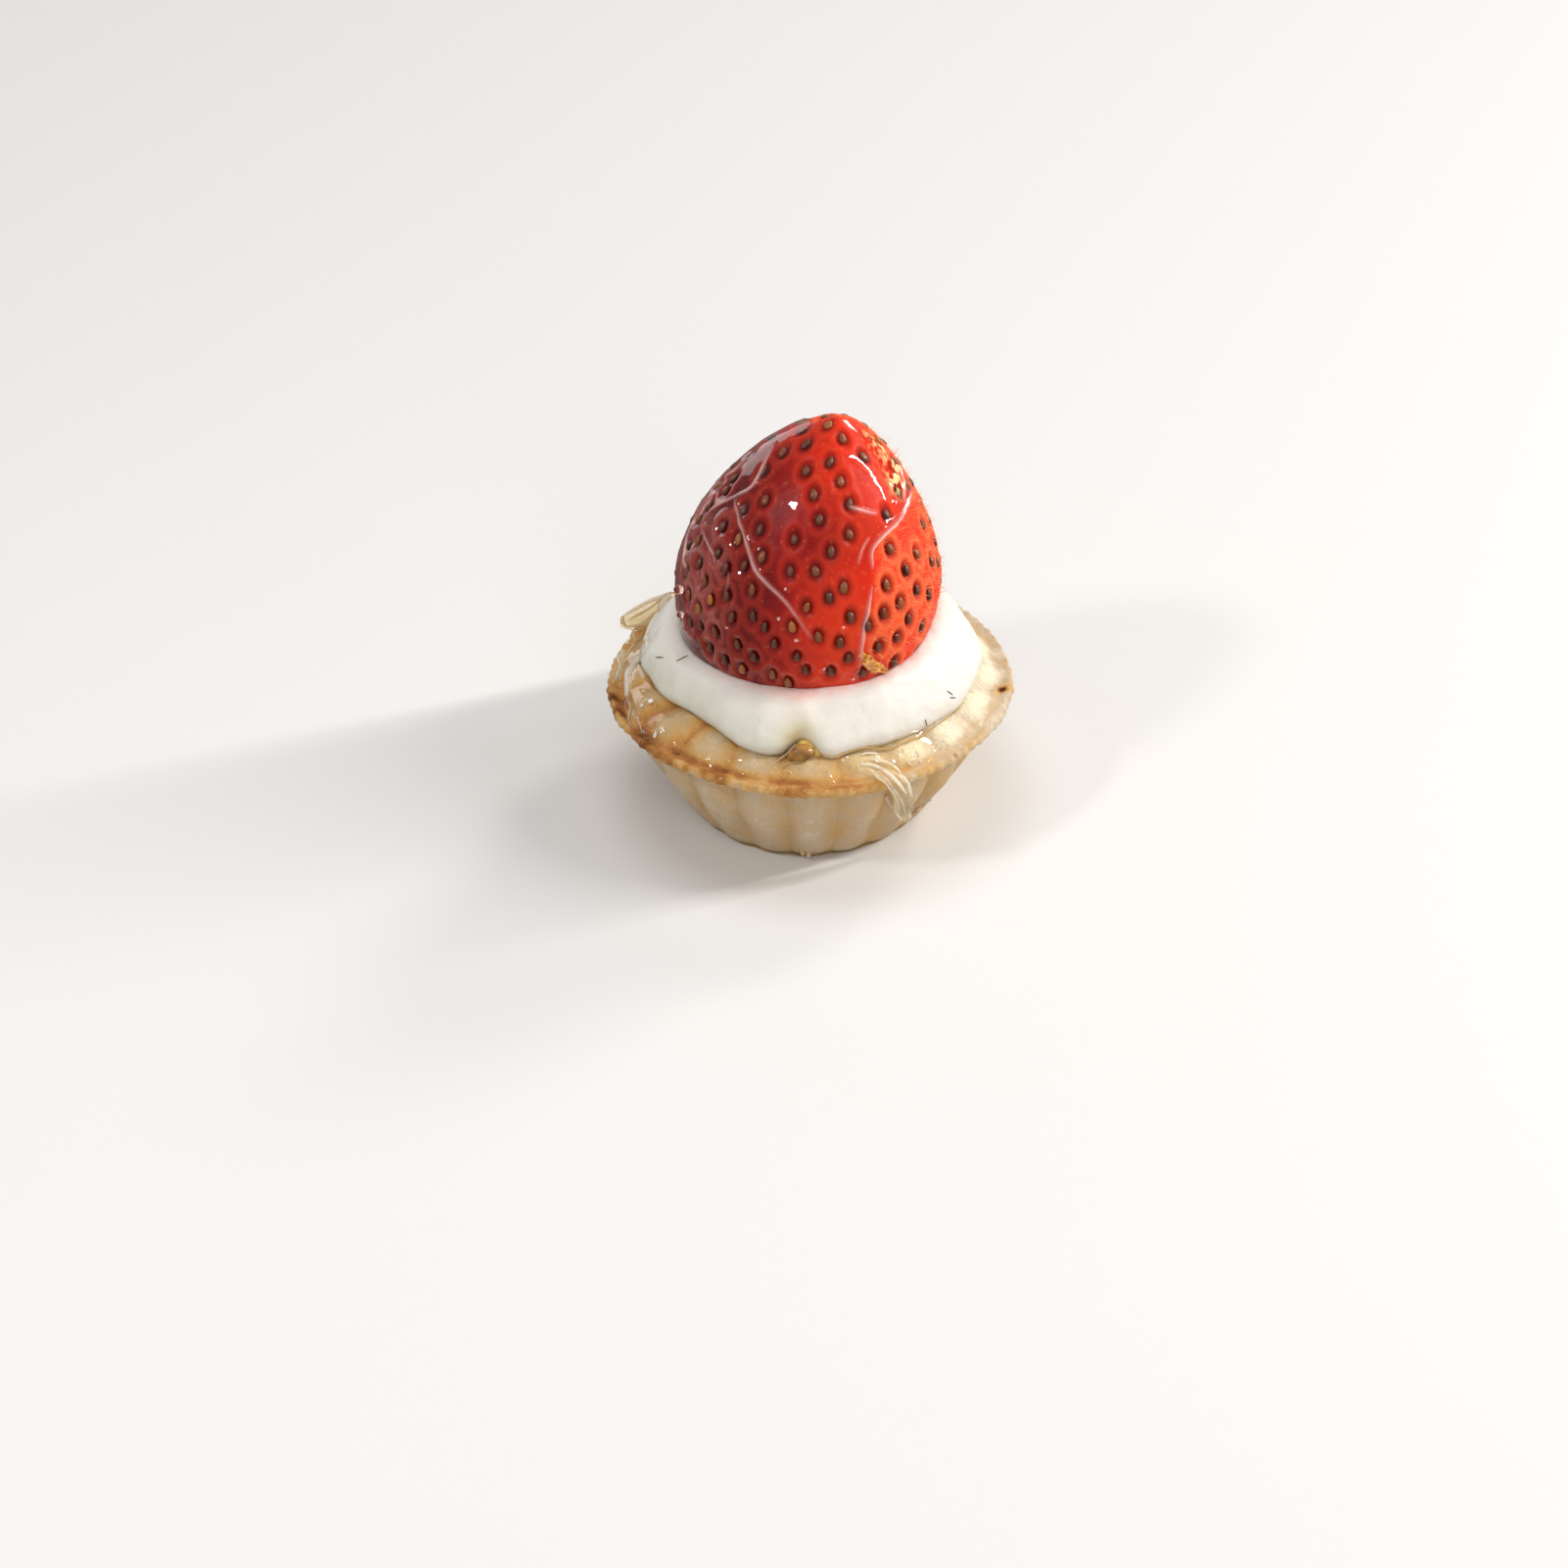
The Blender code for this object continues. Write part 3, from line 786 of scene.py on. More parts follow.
def cream_knots(angle):
    """Outline knots of the cream for an array of angles: (knot, angle, 3)."""
    foot = cream_foot(angle)
    on_brim = crust_height(angle, foot) + GAP * 0.4
    top = cream_top(angle) + 0.22 * rough(polar(angle, 13.0, 0), 2.6, 2, 25)
    rise = top - on_brim
    # the narrow lobes fade upwards
    broad = CREAM_RADIUS + bumps(angle, [lobe for lobe in CREAM_LOBES if lobe[1] > 6]) - foot
    berry = berry_point(angle, top)
    width = foot - np.hypot(berry[:, 0], berry[:, 1])
    under = INNER_RADIUS + 0.6
    stations = [
        (11.5, FLOOR_HEIGHT + GAP),
        (14.9, 13.4),
        (under, crust_height(angle, np.full_like(angle, under)) + 0.25),
        (foot - 0.5, on_brim),
        (foot + 0.10, on_brim + 0.05 * rise),
        (foot + 0.42, on_brim + 0.17 * rise),
        (foot + 0.20 + 0.2 * broad, on_brim + 0.33 * rise),
        (foot - 0.20 * width + 0.5 * broad, on_brim + 0.60 * rise),
        (foot - 0.52 * width + 0.6 * broad, on_brim + 0.85 * rise),
        (foot - 0.82 * width + 0.6 * broad, on_brim + 0.97 * rise),
    ]
    rings = [polar(angle, radius, height) for radius, height in stations]
    socket = ((top, 0.02), (top - 0.5, 0.0), (20.5, 0.1), (BERRY_BASE - 0.2, 0.1))
    rings += [berry_point(angle, height, out) for height, out in socket]
    below = polar(angle, 0, FLOOR_HEIGHT + GAP)
    above = polar(angle, 0, BERRY_BASE - 0.2, berry_middle(BERRY_BASE))
    return np.stack([below] + rings + [above])


def build_cream():
    columns, rows = ((480, 120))
    points, faces = turned(cream_knots, columns, rows)
    around, radius, height = round_axis(points)
    facing = normals(points, faces)
    rise = (height - 16.5) / (cream_top(around) - 16.5)
    open_part = smooth(rise, 0.0, 0.15) * smooth(radius, 15.0, 16.5) * smooth(rise, 1.02, 0.85)
    lift = open_part * (0.24 * rough(points, 5.0, 2, 21) + 0.07 * rough(points, 2.0, 3, 23))
    points = points + facing * lift[:, None]
    film = near_way(around, 200, 42) * smooth(rise, 1.0, 0.35)
    film = film + 0.35 * near_way(around, -98, 9) * smooth(rise, 0.7, 0.1)
    values = {
        "film": np.clip(film + 0.04, 0, 1),
        "stain": 0.7 * near_way(around, -75, 42) * bell(rise - 1.0, 0.035) * (radius > 13),
        "olive": spot(points, tree_of((points, faces)), OLIVE_PIXEL, 1.5),
    }
    piece = make_mesh("cream_filling", points, faces, cream_material(), values)
    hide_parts("cream")
    return points, faces


# ---------------------------------------------------------------- the strawberry


def level_heights(lowest, count):
    """Heights from lowest to the tip with equal arc length between them."""
    height = lowest + (BERRY_TOP - lowest) * (1 - (1 - np.linspace(0, 1, CURVE_STEPS)) ** 2)
    steps = np.hypot(np.diff(height), np.diff(berry_radius(0.0, height)))
    arc = np.concatenate([[0], np.cumsum(steps)])
    return np.interp(np.linspace(0, arc[-1], count), arc, height)


def berry_mesh_base(rows, columns):
    """Points and faces of the strawberry's smooth form, with its tip and its base closed."""
    angle = circle(columns)
    rings = [berry_point(angle, height) for height in level_heights(BERRY_BASE, rows + 1)[:-1]]
    ends = [[polar(0, 0, height, berry_middle(height))] for height in (BERRY_TOP, BERRY_BASE)]
    total = rows * columns
    return np.concatenate(rings + ends), closed_faces(rows, columns, total + 1, total)


# Seeds of the photographed side, at their pixels
SHOWN_SEEDS = (
    (845, 433), (818, 438), (860, 447), (822, 453), (798, 461), (847, 471), (882, 466), (822, 480),
    (858, 491), (830, 504), (867, 514), (905, 525), (737, 537), (836, 530), (753, 550), (810, 550),
    (867, 545), (848, 563), (909, 560), (777, 568), (936, 565), (759, 577), (806, 583), (832, 583),
    (925, 582), (767, 602), (861, 600), (905, 597), (936, 602), (741, 608), (846, 610), (919, 615),
    (823, 620), (768, 629), (746, 630), (868, 630), (902, 626), (928, 632), (886, 639), (780, 640),
    (808, 640), (729, 645), (916, 651), (835, 650), (790, 657), (857, 656), (752, 658), (897, 661),
    (769, 671), (813, 671), (822, 684), (848, 686), (788, 689), (804, 697), (780, 510), (758, 520),
    (779, 480), (712, 551), (703, 556), (713, 575), (718, 594), (712, 621), (724, 612), (748, 488),
    (740, 500), (917, 501), (942, 535), (951, 573), (948, 607), (941, 640), (732, 565), (740, 580),
    (775, 540), (714, 638), (704, 635), (739, 674), (757, 683), (700, 583), (702, 607), (723, 517),
    (713, 530), (724, 661), (933, 668), (913, 676), (866, 672), (881, 687),
)


def seed_places(tree):
    """The place of every seed: the pixels of the photographed side, and a spiral behind."""
    shown = np.array([land(tree, pixel)[0] for pixel in SHOWN_SEEDS if land(tree, pixel)])
    places = list(shown)
    draw = np.random.RandomState(7)
    golden = math.pi * (3 - math.sqrt(5))
    lowest, total = CREAM_TOP + 0.4, 262
    height = lowest + (BERRY_TOP - lowest) * np.linspace(0, 1, CURVE_STEPS)
    radius = berry_radius(0.0, height)
    slant = np.hypot(np.diff(height), np.diff(radius)) * (radius[1:] + radius[:-1])
    area = np.concatenate([[0], np.cumsum(slant)])
    levels = np.interp((np.arange(total) + 0.5) / total * area[-1], area, height)
    for number, level in enumerate(levels):
        reach = max(2.0, float(berry_radius(0.0, level)))
        place = berry_point(number * golden + draw.uniform(-0.3, 0.3) / reach, level)
        close = np.linalg.norm(shown - place, axis=1).min()
        ray = place - EYE
        outward = place - np.array([*map(float, berry_middle(level)), level - 3.0])
        facing = np.dot(ray, outward) / (np.linalg.norm(ray) * np.linalg.norm(outward))
        if close > 2.3 and not (facing < -0.16 and pixel_row(place) > 430):
            places.append(place)
    return np.array(places)


def unit(vector):
    return vector / np.linalg.norm(vector)


def frames_at(places):
    """Across, along and out directions of the skin at places."""
    result = []
    for place in places:
        height = min(place[2], BERRY_TOP - 0.05)
        x, y = berry_middle(height)
        angle = math.atan2(place[1] - y, place[0] - x)
        above = berry_point(angle, min(height + 0.2, BERRY_TOP))
        along = unit(above - berry_point(angle, height - 0.2))
        across = unit(berry_point(angle + 0.01, height) - berry_point(angle - 0.01, height))
        out = unit(np.cross(across, along))
        result.append((across, np.cross(out, across), out))
    return result


def dryness(points):
    """1 where the skin has no glaze: the right and back right flank."""
    x, y, z = points.T
    angle = np.arctan2(y - BERRY_CENTRE[1], x - BERRY_CENTRE[0])
    inside = turn_between(angle, np.interp(z, *GLAZE_EDGE))
    far = turn_between(angle, math.radians(112) + 0.25 * np.sin(z / 3.0))
    return smooth(inside, -0.02, 0.06) * smooth(far, 0.05, -0.08) * (inside > -1.2)


GLAZE_EDGE = (np.array([20.0, 30.0, 52.0]), np.array([-0.8, -0.8, -0.2]))

# The right edge of the glaze on the strawberry, top to bottom, in pixels
RIGHT_EDGE = (
    (905, 443), (922, 462), (927, 490), (925, 512), (915, 533), (899, 549), (889, 563), (890, 580),
    (887, 610), (884, 640), (880, 668), (878, 690),
)


def find_glaze_edge(tree):
    """Reads the right edge's direction at each height from where its pixels land."""
    global GLAZE_EDGE
    places, _ = lay(tree, RIGHT_EDGE, 60)
    angle = np.arctan2(places[:, 1] - BERRY_CENTRE[1], places[:, 0] - BERRY_CENTRE[0])
    order = np.argsort(places[:, 2])
    GLAZE_EDGE = (places[order, 2], angle[order])


def hollows(points, places, frames):
    """How deep in a seed's hollow, and how near a hollow's rim, each point is."""
    pit = np.zeros(len(points))
    rim = np.zeros(len(points))
    for place, (across, along, _) in zip(places, frames):
        offset = points - place
        near = np.abs(offset).max(axis=1) < 2.6
        local = offset[near]
        distance = np.hypot(local @ across / 0.66, local @ along / 0.90)
        pit[near] = np.maximum(pit[near], np.exp(-0.5 * distance**2.6))
        rim[near] = np.maximum(rim[near], bell(distance - 1.95, 0.45))
    return pit, rim


def skin_relief(points, pit, rim, dry):
    high = smooth(points[:, 2], BERRY_TOP, BERRY_TOP - 1.0)
    lift = -pit * (0.44 + 0.10 * dry) + 0.11 * rim * (0.8 + 0.5 * dry)
    return high * (lift + 0.10 * rough(points, 4.5, 2, 31) + 0.02 * rough(points, 0.7, 2, 33))


def build_berry(tree, places, frames):
    rows, columns = ((230, 400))
    points, faces = berry_mesh_base(rows, columns)
    facing = normals(points, faces)
    dry = dryness(points)
    pit, rim = hollows(points, places, frames)
    points = points + facing * skin_relief(points, pit, rim, dry)[:, None]
    x, y, z = points.T
    patch = spot(points, tree, DARK_PIXEL, 3.4)
    # the left flank darker: painted shade
    shade_and_dark_patch = smooth(x, 3.5, -8.5) * smooth(y, 9.0, 1.0)
    # orange towards the right and the front centre: painted light
    painted_glow = smooth(x, -8.0, 5.0) * smooth(y, 10.0, 2.0) * (1.0 - 0.3 * smooth(z, 30.0, 38.0))
    values = {
        "dry": dry,
        "pit": pit,
        "rim": rim,
        "shade_and_dark_patch": np.maximum(0.95 * shade_and_dark_patch, 0.65 * patch),
        "painted_glow": 0.6 * painted_glow * (1 - 0.8 * patch),
    }
    piece = make_mesh("strawberry_flesh", points, faces, berry_material(), values)
    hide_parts("strawberry")


def build_seeds(places, frames):
    draw = np.random.RandomState(5)
    along_share = np.linspace(-1, 1, 7)[:, None]
    round_share = np.sqrt(np.maximum(0, 1 - along_share**2)) * (1 - 0.22 * along_share)
    round_share = np.maximum(round_share, 0.03)
    angle = circle(10)
    faces = [face[::-1] for face in capped_faces(len(along_share), len(angle))]
    parts, tone = [], []
    for place, (across, along, out) in zip(places, frames):
        length, width = draw.uniform(0.66, 0.80), draw.uniform(0.42, 0.52)
        thick = draw.uniform(0.26, 0.34)
        turn = draw.uniform(-0.25, 0.25)
        side = across * math.cos(turn) + along * math.sin(turn)
        up = along * math.cos(turn) - across * math.sin(turn)
        middle = place - out * draw.uniform(0.02, 0.12)
        tone += [np.clip(draw.normal(0.40, 0.30), 0, 1)] * (len(along_share) * len(angle))
        grid = (
            middle
            + (length * along_share)[..., None] * up
            + (width * round_share * np.cos(angle))[..., None] * side
            + (thick * round_share * np.sin(angle))[..., None] * out
        )
        parts.append((grid.reshape(-1, 3), faces))
    points, faces = gather(parts)
    rise = np.tile(np.maximum(0.0, np.sin(angle)) ** 4, len(places) * len(along_share))
    piece = make_mesh("seeds", points, faces, seed_material(), {"tone": tone, "rise": rise})


# ---------------------------------------------------------------- glaze on the strawberry

# Ridges where the glaze set thick: pixels, half width, height, milkiness
BERRY_RIDGES = (
    (((793, 452), (781, 475), (769, 497), (751, 507)), 0.18, 0.26, 0.65),
    (
        ((751, 507), (752, 520), (757, 537), (764, 558), (771, 580), (784, 596), (800, 612),
        (815, 632), (829, 652)), 0.20, 0.30, 0.6
    ),
    (((770, 463), (756, 476), (741, 488), (727, 505), (714, 522), (704, 540)), 0.22, 0.22, 0.65),
    (((751, 507), (738, 513), (725, 522), (716, 536)), 0.16, 0.16, 0.6),
    (((732, 500), (718, 520), (706, 538), (700, 556), (699, 575), (701, 592)), 0.36, 0.12, 0.85),
    (((716, 536), (722, 552), (727, 563), (729, 575)), 0.15, 0.14, 0.6),
    (((718, 540), (708, 556), (705, 572)), 0.16, 0.12, 0.6),
    (((704, 540), (712, 556), (718, 575), (714, 598), (706, 620)), 0.13, 0.13, 0.5),
    (((700, 560), (704, 580), (700, 602), (704, 625)), 0.12, 0.12, 0.45),
    (((727, 570), (738, 578), (744, 592), (738, 604)), 0.12, 0.12, 0.4),
    (RIGHT_EDGE[1:8], 0.32, 0.46, 0.85),
    (((893, 592), (888, 612), (884, 632), (880, 655), (877, 680)), 0.30, 0.26, 0.6),
    (((866, 517), (878, 521), (893, 525)), 0.20, 0.22, 0.6),
    (((886, 548), (879, 560), (875, 576)), 0.15, 0.16, 0.5),
    (((898, 451), (907, 464), (914, 480), (919, 497), (920, 514)), 0.26, 0.34, 0.8),
)


def near_line(points, line, half_width):
    """A bell of each point's distance to a line of close points, thinner at the line's ends."""
    result = np.zeros(len(points))
    low, high = line.min(0) - 4 * half_width, line.max(0) + 4 * half_width
    near = np.flatnonzero(((points > low) & (points < high)).all(axis=1))
    share = np.linspace(0, 1, len(line))
    taper = 0.45 + 0.55 * np.sqrt(np.clip(4 * share * (1 - share), 0, 1))
    for block in np.array_split(near, max(1, len(near) // 4000)):
        distance = np.linalg.norm(points[block][:, None] - line[None], axis=2)
        closest = distance.argmin(axis=1)
        width = half_width * taper[closest]
        result[block] = bell(distance[np.arange(len(block)), closest], width) * taper[closest]
    return result


# Small drops and lumps in the glaze: pixel, radius, height; each carries a painted white glint
BERRY_LUMPS = (
    ((802, 601), 0.40, 0.14), ((795, 631), 0.45, 0.16),
    (
        (813, 653), 0.45, 0.14), ((876, 685), 0.50, 0.20), ((841, 682), 0.45, 0.18), ((870, 692),
        0.40, 0.16,
    ),
    (
        (912, 513), 0.40, 0.12), ((860, 640), 0.35, 0.10), ((775, 560), 0.35, 0.08), ((742, 640),
        0.35, 0.10,
    ),
)


def build_berry_glaze(tree, places, frames):
    rows, columns = ((240, 400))
    points, faces = berry_mesh_base(rows, columns)
    x, y, z = points.T
    facing = normals(points, faces)
    cover = 1 - dryness(points)
    pit, rim = hollows(points, places, frames)
    # thick and level over the top and the upper front, a thin skin that dips into each hollow below
    level = smooth(z, 33, 41) * smooth(x, -9.5, -5.0)
    thick = 0.07 + 0.19 * level + (0.02 + 0.04 * level) * rough(points, 4.0, 2, 41)
    relief = skin_relief(points, pit, rim, np.zeros(len(points)))
    # level where the two highlights lie
    strip, _ = lay(tree, ((864, 463), (884, 485), (904, 506)), 30)
    calm = np.maximum(near_line(points, strip, 1.4), spot(points, tree, (807, 517), 0.9))
    # the glaze is thickest at the upper right, where it set in lumps
    lump = np.zeros(len(points))
    for pixel, size in (((899, 456), 1.6), ((907, 472), 1.7), ((911, 489), 1.4), ((890, 449), 1.3)):
        lump = np.maximum(lump, spot(points, tree, pixel, size))
    lump = lump * smooth(x, 4.5, 7.0) * (1 - 0.9 * calm)
    thick = thick + lump * (0.26 + 0.20 * noise(points, 0.9, 43) + 0.10 * noise(points, 0.45, 44))
    edge, ridge, white_and_glint = np.zeros((3, len(points)))
    for pixels, half_width, height, milk in BERRY_RIDGES:
        line, _ = lay(tree, pixels, 14 * len(pixels))
        near = near_line(points, line, half_width)
        ridge = np.maximum(ridge, near * height)
        edge = np.maximum(edge, near**1.5 * milk)
        # the whitest ridge cores are painted highlights
        white_and_glint = np.maximum(white_and_glint, 0.5 * near**4 * (milk >= 0.6))
    # at the left, a pale web round the hollows, low glaze ridges whose milky colour is painted
    # reflection, and a thin milky veil that is a painted sheen
    web_and_reflection = smooth(x, -7.5, -12.0) * smooth(y, 9.0, 3.0) * smooth(z, 47.0, 40.0)
    web_and_reflection = web_and_reflection * np.clip(0.5 + 0.8 * noise(points, 2.4, 45), 0, 1) * rim
    painted_sheen = smooth(x, -10.0, -13.0) * smooth(y, 9.0, 3.0) * smooth(z, 30.0, 35.0)
    painted_sheen = painted_sheen * smooth(z, 47.0, 42.0) * (1 - pit) * (0.09 + 0.12 * noise(points, 1.8, 46))
    edge = np.maximum(np.maximum(edge, 0.24 * web_and_reflection), painted_sheen)
    ridge = np.maximum(ridge, 0.10 * web_and_reflection)
    for pixel, size, height in BERRY_LUMPS:
        near = spot(points, tree, pixel, size) ** 2
        ridge = np.maximum(ridge, height * near)
        # a painted white glint on each lump's top
        painted_glint_dot = smooth(near, 0.72, 0.96)
        white_and_glint, edge = np.maximum(white_and_glint, painted_glint_dot), np.maximum(edge, 0.8 * painted_glint_dot)
    relief = relief * (0.9 - 0.75 * level) * (1 - 0.95 * calm)
    lift = relief + cover * thick - (1 - cover) * 0.45 + ridge
    points = points + facing * lift[:, None]
    keep = ((cover > 0.2) | (ridge > 0.05)) & (points[:, 2] > 20.8)
    points, faces, kept = trimmed(points, faces, keep)
    # the thick glaze's tint, the edges' milk, and the gold of its painted glints
    colours = srgb(255, 214, 140), srgb(244, 168, 158), srgb(255, 222, 150)
    values = {"deep": lump[kept], "edge": edge[kept], "white_and_glint": white_and_glint[kept]}
    material = glaze_material("clear_glaze", *colours)
    piece = make_mesh("berry_glaze", points, faces, material, values)


# ---------------------------------------------------------------- glaze on the brim


# By direction in degrees: how far out the glaze on the brim reaches, and how thick it is
FILM_REACH = (
    (
        135, 152, 158, 162, 169, 172, 180, 182, 190, 200, 215, 235, 250, 262, 275, 288, 296, 303,
        312, 330,
    ),
    (
        24.2, 24.4, 23.8, 23.9, 23.4, 22.9, 23.1, 21.8, 22.0, 22.2, 22.5, 22.0, 21.0, 21.6, 23.6,
        24.4, 24.9, 24.4, 22.0, 20.0,
    ),
)
FILM_BODY = (
    (130, 138, 150, 170, 182, 195, 215, 240, 255, 270, 285, 300, 308, 322, 335),
    (-0.3, 0.25, 0.45, 0.50, 0.45, 0.40, 0.25, -0.2, 0.05, 0.32, 0.42, 0.50, 0.30, 0.02, -0.3),
)


def brim_film_thickness(angle, radius):
    """Thickness of the glaze over the brim; under 0 there is none."""
    degrees = np.degrees(angle) % 360
    reach, body = np.interp(degrees, *FILM_REACH), np.interp(degrees, *FILM_BODY)
    inside = smooth(radius, reach + 0.25, reach - 0.35)
    rim = 0.22 * bell(radius - (reach - 0.25), 0.25)
    return (body + rim) * inside - 0.35 * (1 - inside)


def softened(rows):
    """Rows of numbers or points, each moved halfway to the middle of its two neighbours."""
    rows = rows.copy()
    rows[1:-1] = 0.25 * rows[:-2] + 0.5 * rows[1:-1] + 0.25 * rows[2:]
    return rows


# Wet lumps on the brim: pixel, radius, height; each carries a painted white glint
BRIM_LUMPS = (
    (
        (664, 718), 0.95, 0.32), ((668, 754), 0.75, 0.30), ((655, 721), 0.45, 0.2), ((645, 725),
        0.45, 0.2,
    ),
    (
        (676, 745), 0.4, 0.18), ((650, 735), 0.5, 0.16), ((912, 783), 1.5, 0.30), ((890, 775),
        0.9, 0.2,
    ),
    (
        (922, 768), 0.4, 0.18), ((931, 775), 0.45, 0.2), ((937, 780), 0.35, 0.16), ((860, 779),
        0.8, 0.15,
    ),
)


def build_brim_film(tree):
    columns, rows = ((560, 80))
    angle = np.radians(np.linspace(131, 334, columns))
    out, level = lip(angle)
    foot = cream_foot(angle)
    share = np.linspace(0, 1, rows)[:, None]
    radius = (foot - 0.3) * (1 - share) + (out + 0.35) * share
    around = np.broadcast_to(angle, radius.shape)
    over = radius - (out - 0.35)
    past = level + 0.1 - 0.9 * np.maximum(over, 0) ** 1.3
    base = np.where(over > 0, past, crust_height(around, radius))
    # the set film levels the crust's groove and beads a little
    level_out = base
    for _ in range(12):
        level_out = softened(softened(level_out).T).T
    thick = brim_film_thickness(around, radius)
    flat = polar(around, radius, base).reshape(-1, 3)
    # it climbs a little against the cream
    climb = 0.9 * bell(radius - foot, 0.35) * smooth(thick, 0.0, 0.3)
    filled = np.where(thick > 0, level_out + thick * 0.7, base + thick)
    height = (np.maximum(base + thick * 0.6, filled) + climb).reshape(-1)
    height = height + 0.05 * rough(flat, 1.8, 2, 51)
    white_and_glint = np.zeros(len(flat))
    for pixel, size, rise in BRIM_LUMPS:
        place = land(tree, pixel)[0]
        apart = np.linalg.norm(flat[:, :2] - place[:2], axis=1) / size
        height = height + rise * np.sqrt(np.clip(1 - apart**2, 0, 1))
        # a painted white glint on each lump, wider on the left
        painted_glint = bell(apart, 0.30 if place[0] < 0 else 0.12) * (0.8 + 0.3 * noise(flat, 0.5, 52))
        white_and_glint = np.maximum(white_and_glint, painted_glint)
    points = np.column_stack([flat[:, :2], height])
    thick = thick.reshape(-1)
    white_and_glint = np.clip(1.3 * white_and_glint, 0, 1)
    edge = 0.3 * bell(thick - 0.05, 0.09) * (np.degrees(around.reshape(-1)) < 205)
    edge = np.maximum(edge, 0.9 * smooth(white_and_glint, 0.3, 0.7))
    deep = np.clip((height - base.reshape(-1)) / 2.0, 0, 0.6)
    faces = [face[::-1] for face in grid_faces(rows, columns)]
    points, faces, kept = trimmed(points, faces, thick > -0.25)
    material = glaze_material("brim_glaze_film", srgb(255, 232, 160), srgb(250, 240, 220))
    values = {"deep": deep[kept], "edge": edge[kept], "white_and_glint": white_and_glint[kept]}
    piece = make_mesh("brim_glaze", points, faces, material, values)
    return points, faces


def swept(stations, count, material, name, rim):
    """A smooth closed ribbon of glaze through stations of (middle, across, out, half width,
    thickness), with a rounded outline."""
    middles, across, out, width, thickness = (spline(values, count) for values in zip(*stations))
    shape = spline(ROUND_OUTLINE, 28, closed=True)
    grid = (
        middles[:, None]
        + across[:, None] * (width[:, None] * shape[:, 0])[..., None]
        + out[:, None] * (thickness[:, None] * shape[:, 1])[..., None]
    )
    points = grid.reshape(-1, 3)
    faces = closed_faces(count, len(shape), len(points), len(points) + 1)
    points = np.concatenate([points, [grid[0].mean(0), grid[-1].mean(0)]])
    # pale towards the sides, partly painted highlights on the glaze's rims
    edge = np.concatenate([np.tile(np.abs(shape[:, 0]) ** 3, count) * rim, [rim, rim]])
    return make_mesh(name, points, faces, material, {"edge": edge}), points, faces


ROUND_OUTLINE = (
    (
        -0.94, 0.0), (-1.0, 0.32), (-0.82, 0.74), (-0.45, 0.95), (0, 1), (0.45, 0.95), (0.82,
        0.74), (1.0, 0.32,
    ),
    (0.94, 0.0), (0.5, -0.02), (0.0, -0.02), (-0.5, -0.02),
)


def build_drip(material):
    edge, level = (float(value) for value in lip(math.radians(-65)))
    # direction, radius, height, tilt, half width, thickness
    rows = (
        (-68, edge - 1.9, level + 0.75, 60, 1.0, 0.4),
        (-67, edge - 0.8, level + 0.55, 65, 1.3, 0.7),
        (-65.5, edge, level + 0.35, 40, 1.4, 0.8),
        (-64, edge + 0.25, level - 0.7, 0, 1.35, 0.85),
        (-61.5, 23.15, level - 3.0, -20, 1.25, 1.0),
        (-59, 21.2, level - 6.0, -28, 1.1, 0.95),
        (-56, 20.25, level - 8.2, -28, 0.8, 0.8),
        (-55, 19.9, level - 9.1, -28, 0.3, 0.3),
    )
    stations = []
    for direction, radius, height, tilt, half_width, thickness in rows:
        angle, lean = math.radians(direction), math.radians(tilt)
        across = np.array((math.sin(angle), -math.cos(angle), 0.0))
        out = polar(angle, math.cos(lean), math.sin(lean))
        stations.append((polar(angle, radius, height), across, out, half_width, thickness))
    piece, points, faces = swept(stations, 60, material, "drip", 0.9)
    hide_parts("glaze_drip")
    return points, faces


def build_shard(material):
    across, up = np.array((0.2, 0.98, 0.0)), np.array((0, 0, 1.0))
    stations = []
    for x, y, top, half_width in SHARD:
        near = np.array((x, y)) - across[:2] * half_width
        angle, radius = math.atan2(near[1], near[0]), float(np.hypot(*near))
        edge, level = (float(value) for value in lip(angle))
        under = max(float(crust_height(angle, radius)), level + 0.1) + 0.12
        middle = np.array((x, y, under + 0.5 * max(0.0, radius - edge)))
        stations.append((middle, across, up, half_width, top - middle[2]))
    piece, points, faces = swept(stations, 50, material, "shard", 0.5)
    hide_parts("glaze_shard")
    return points, faces


# ---------------------------------------------------------------- small things

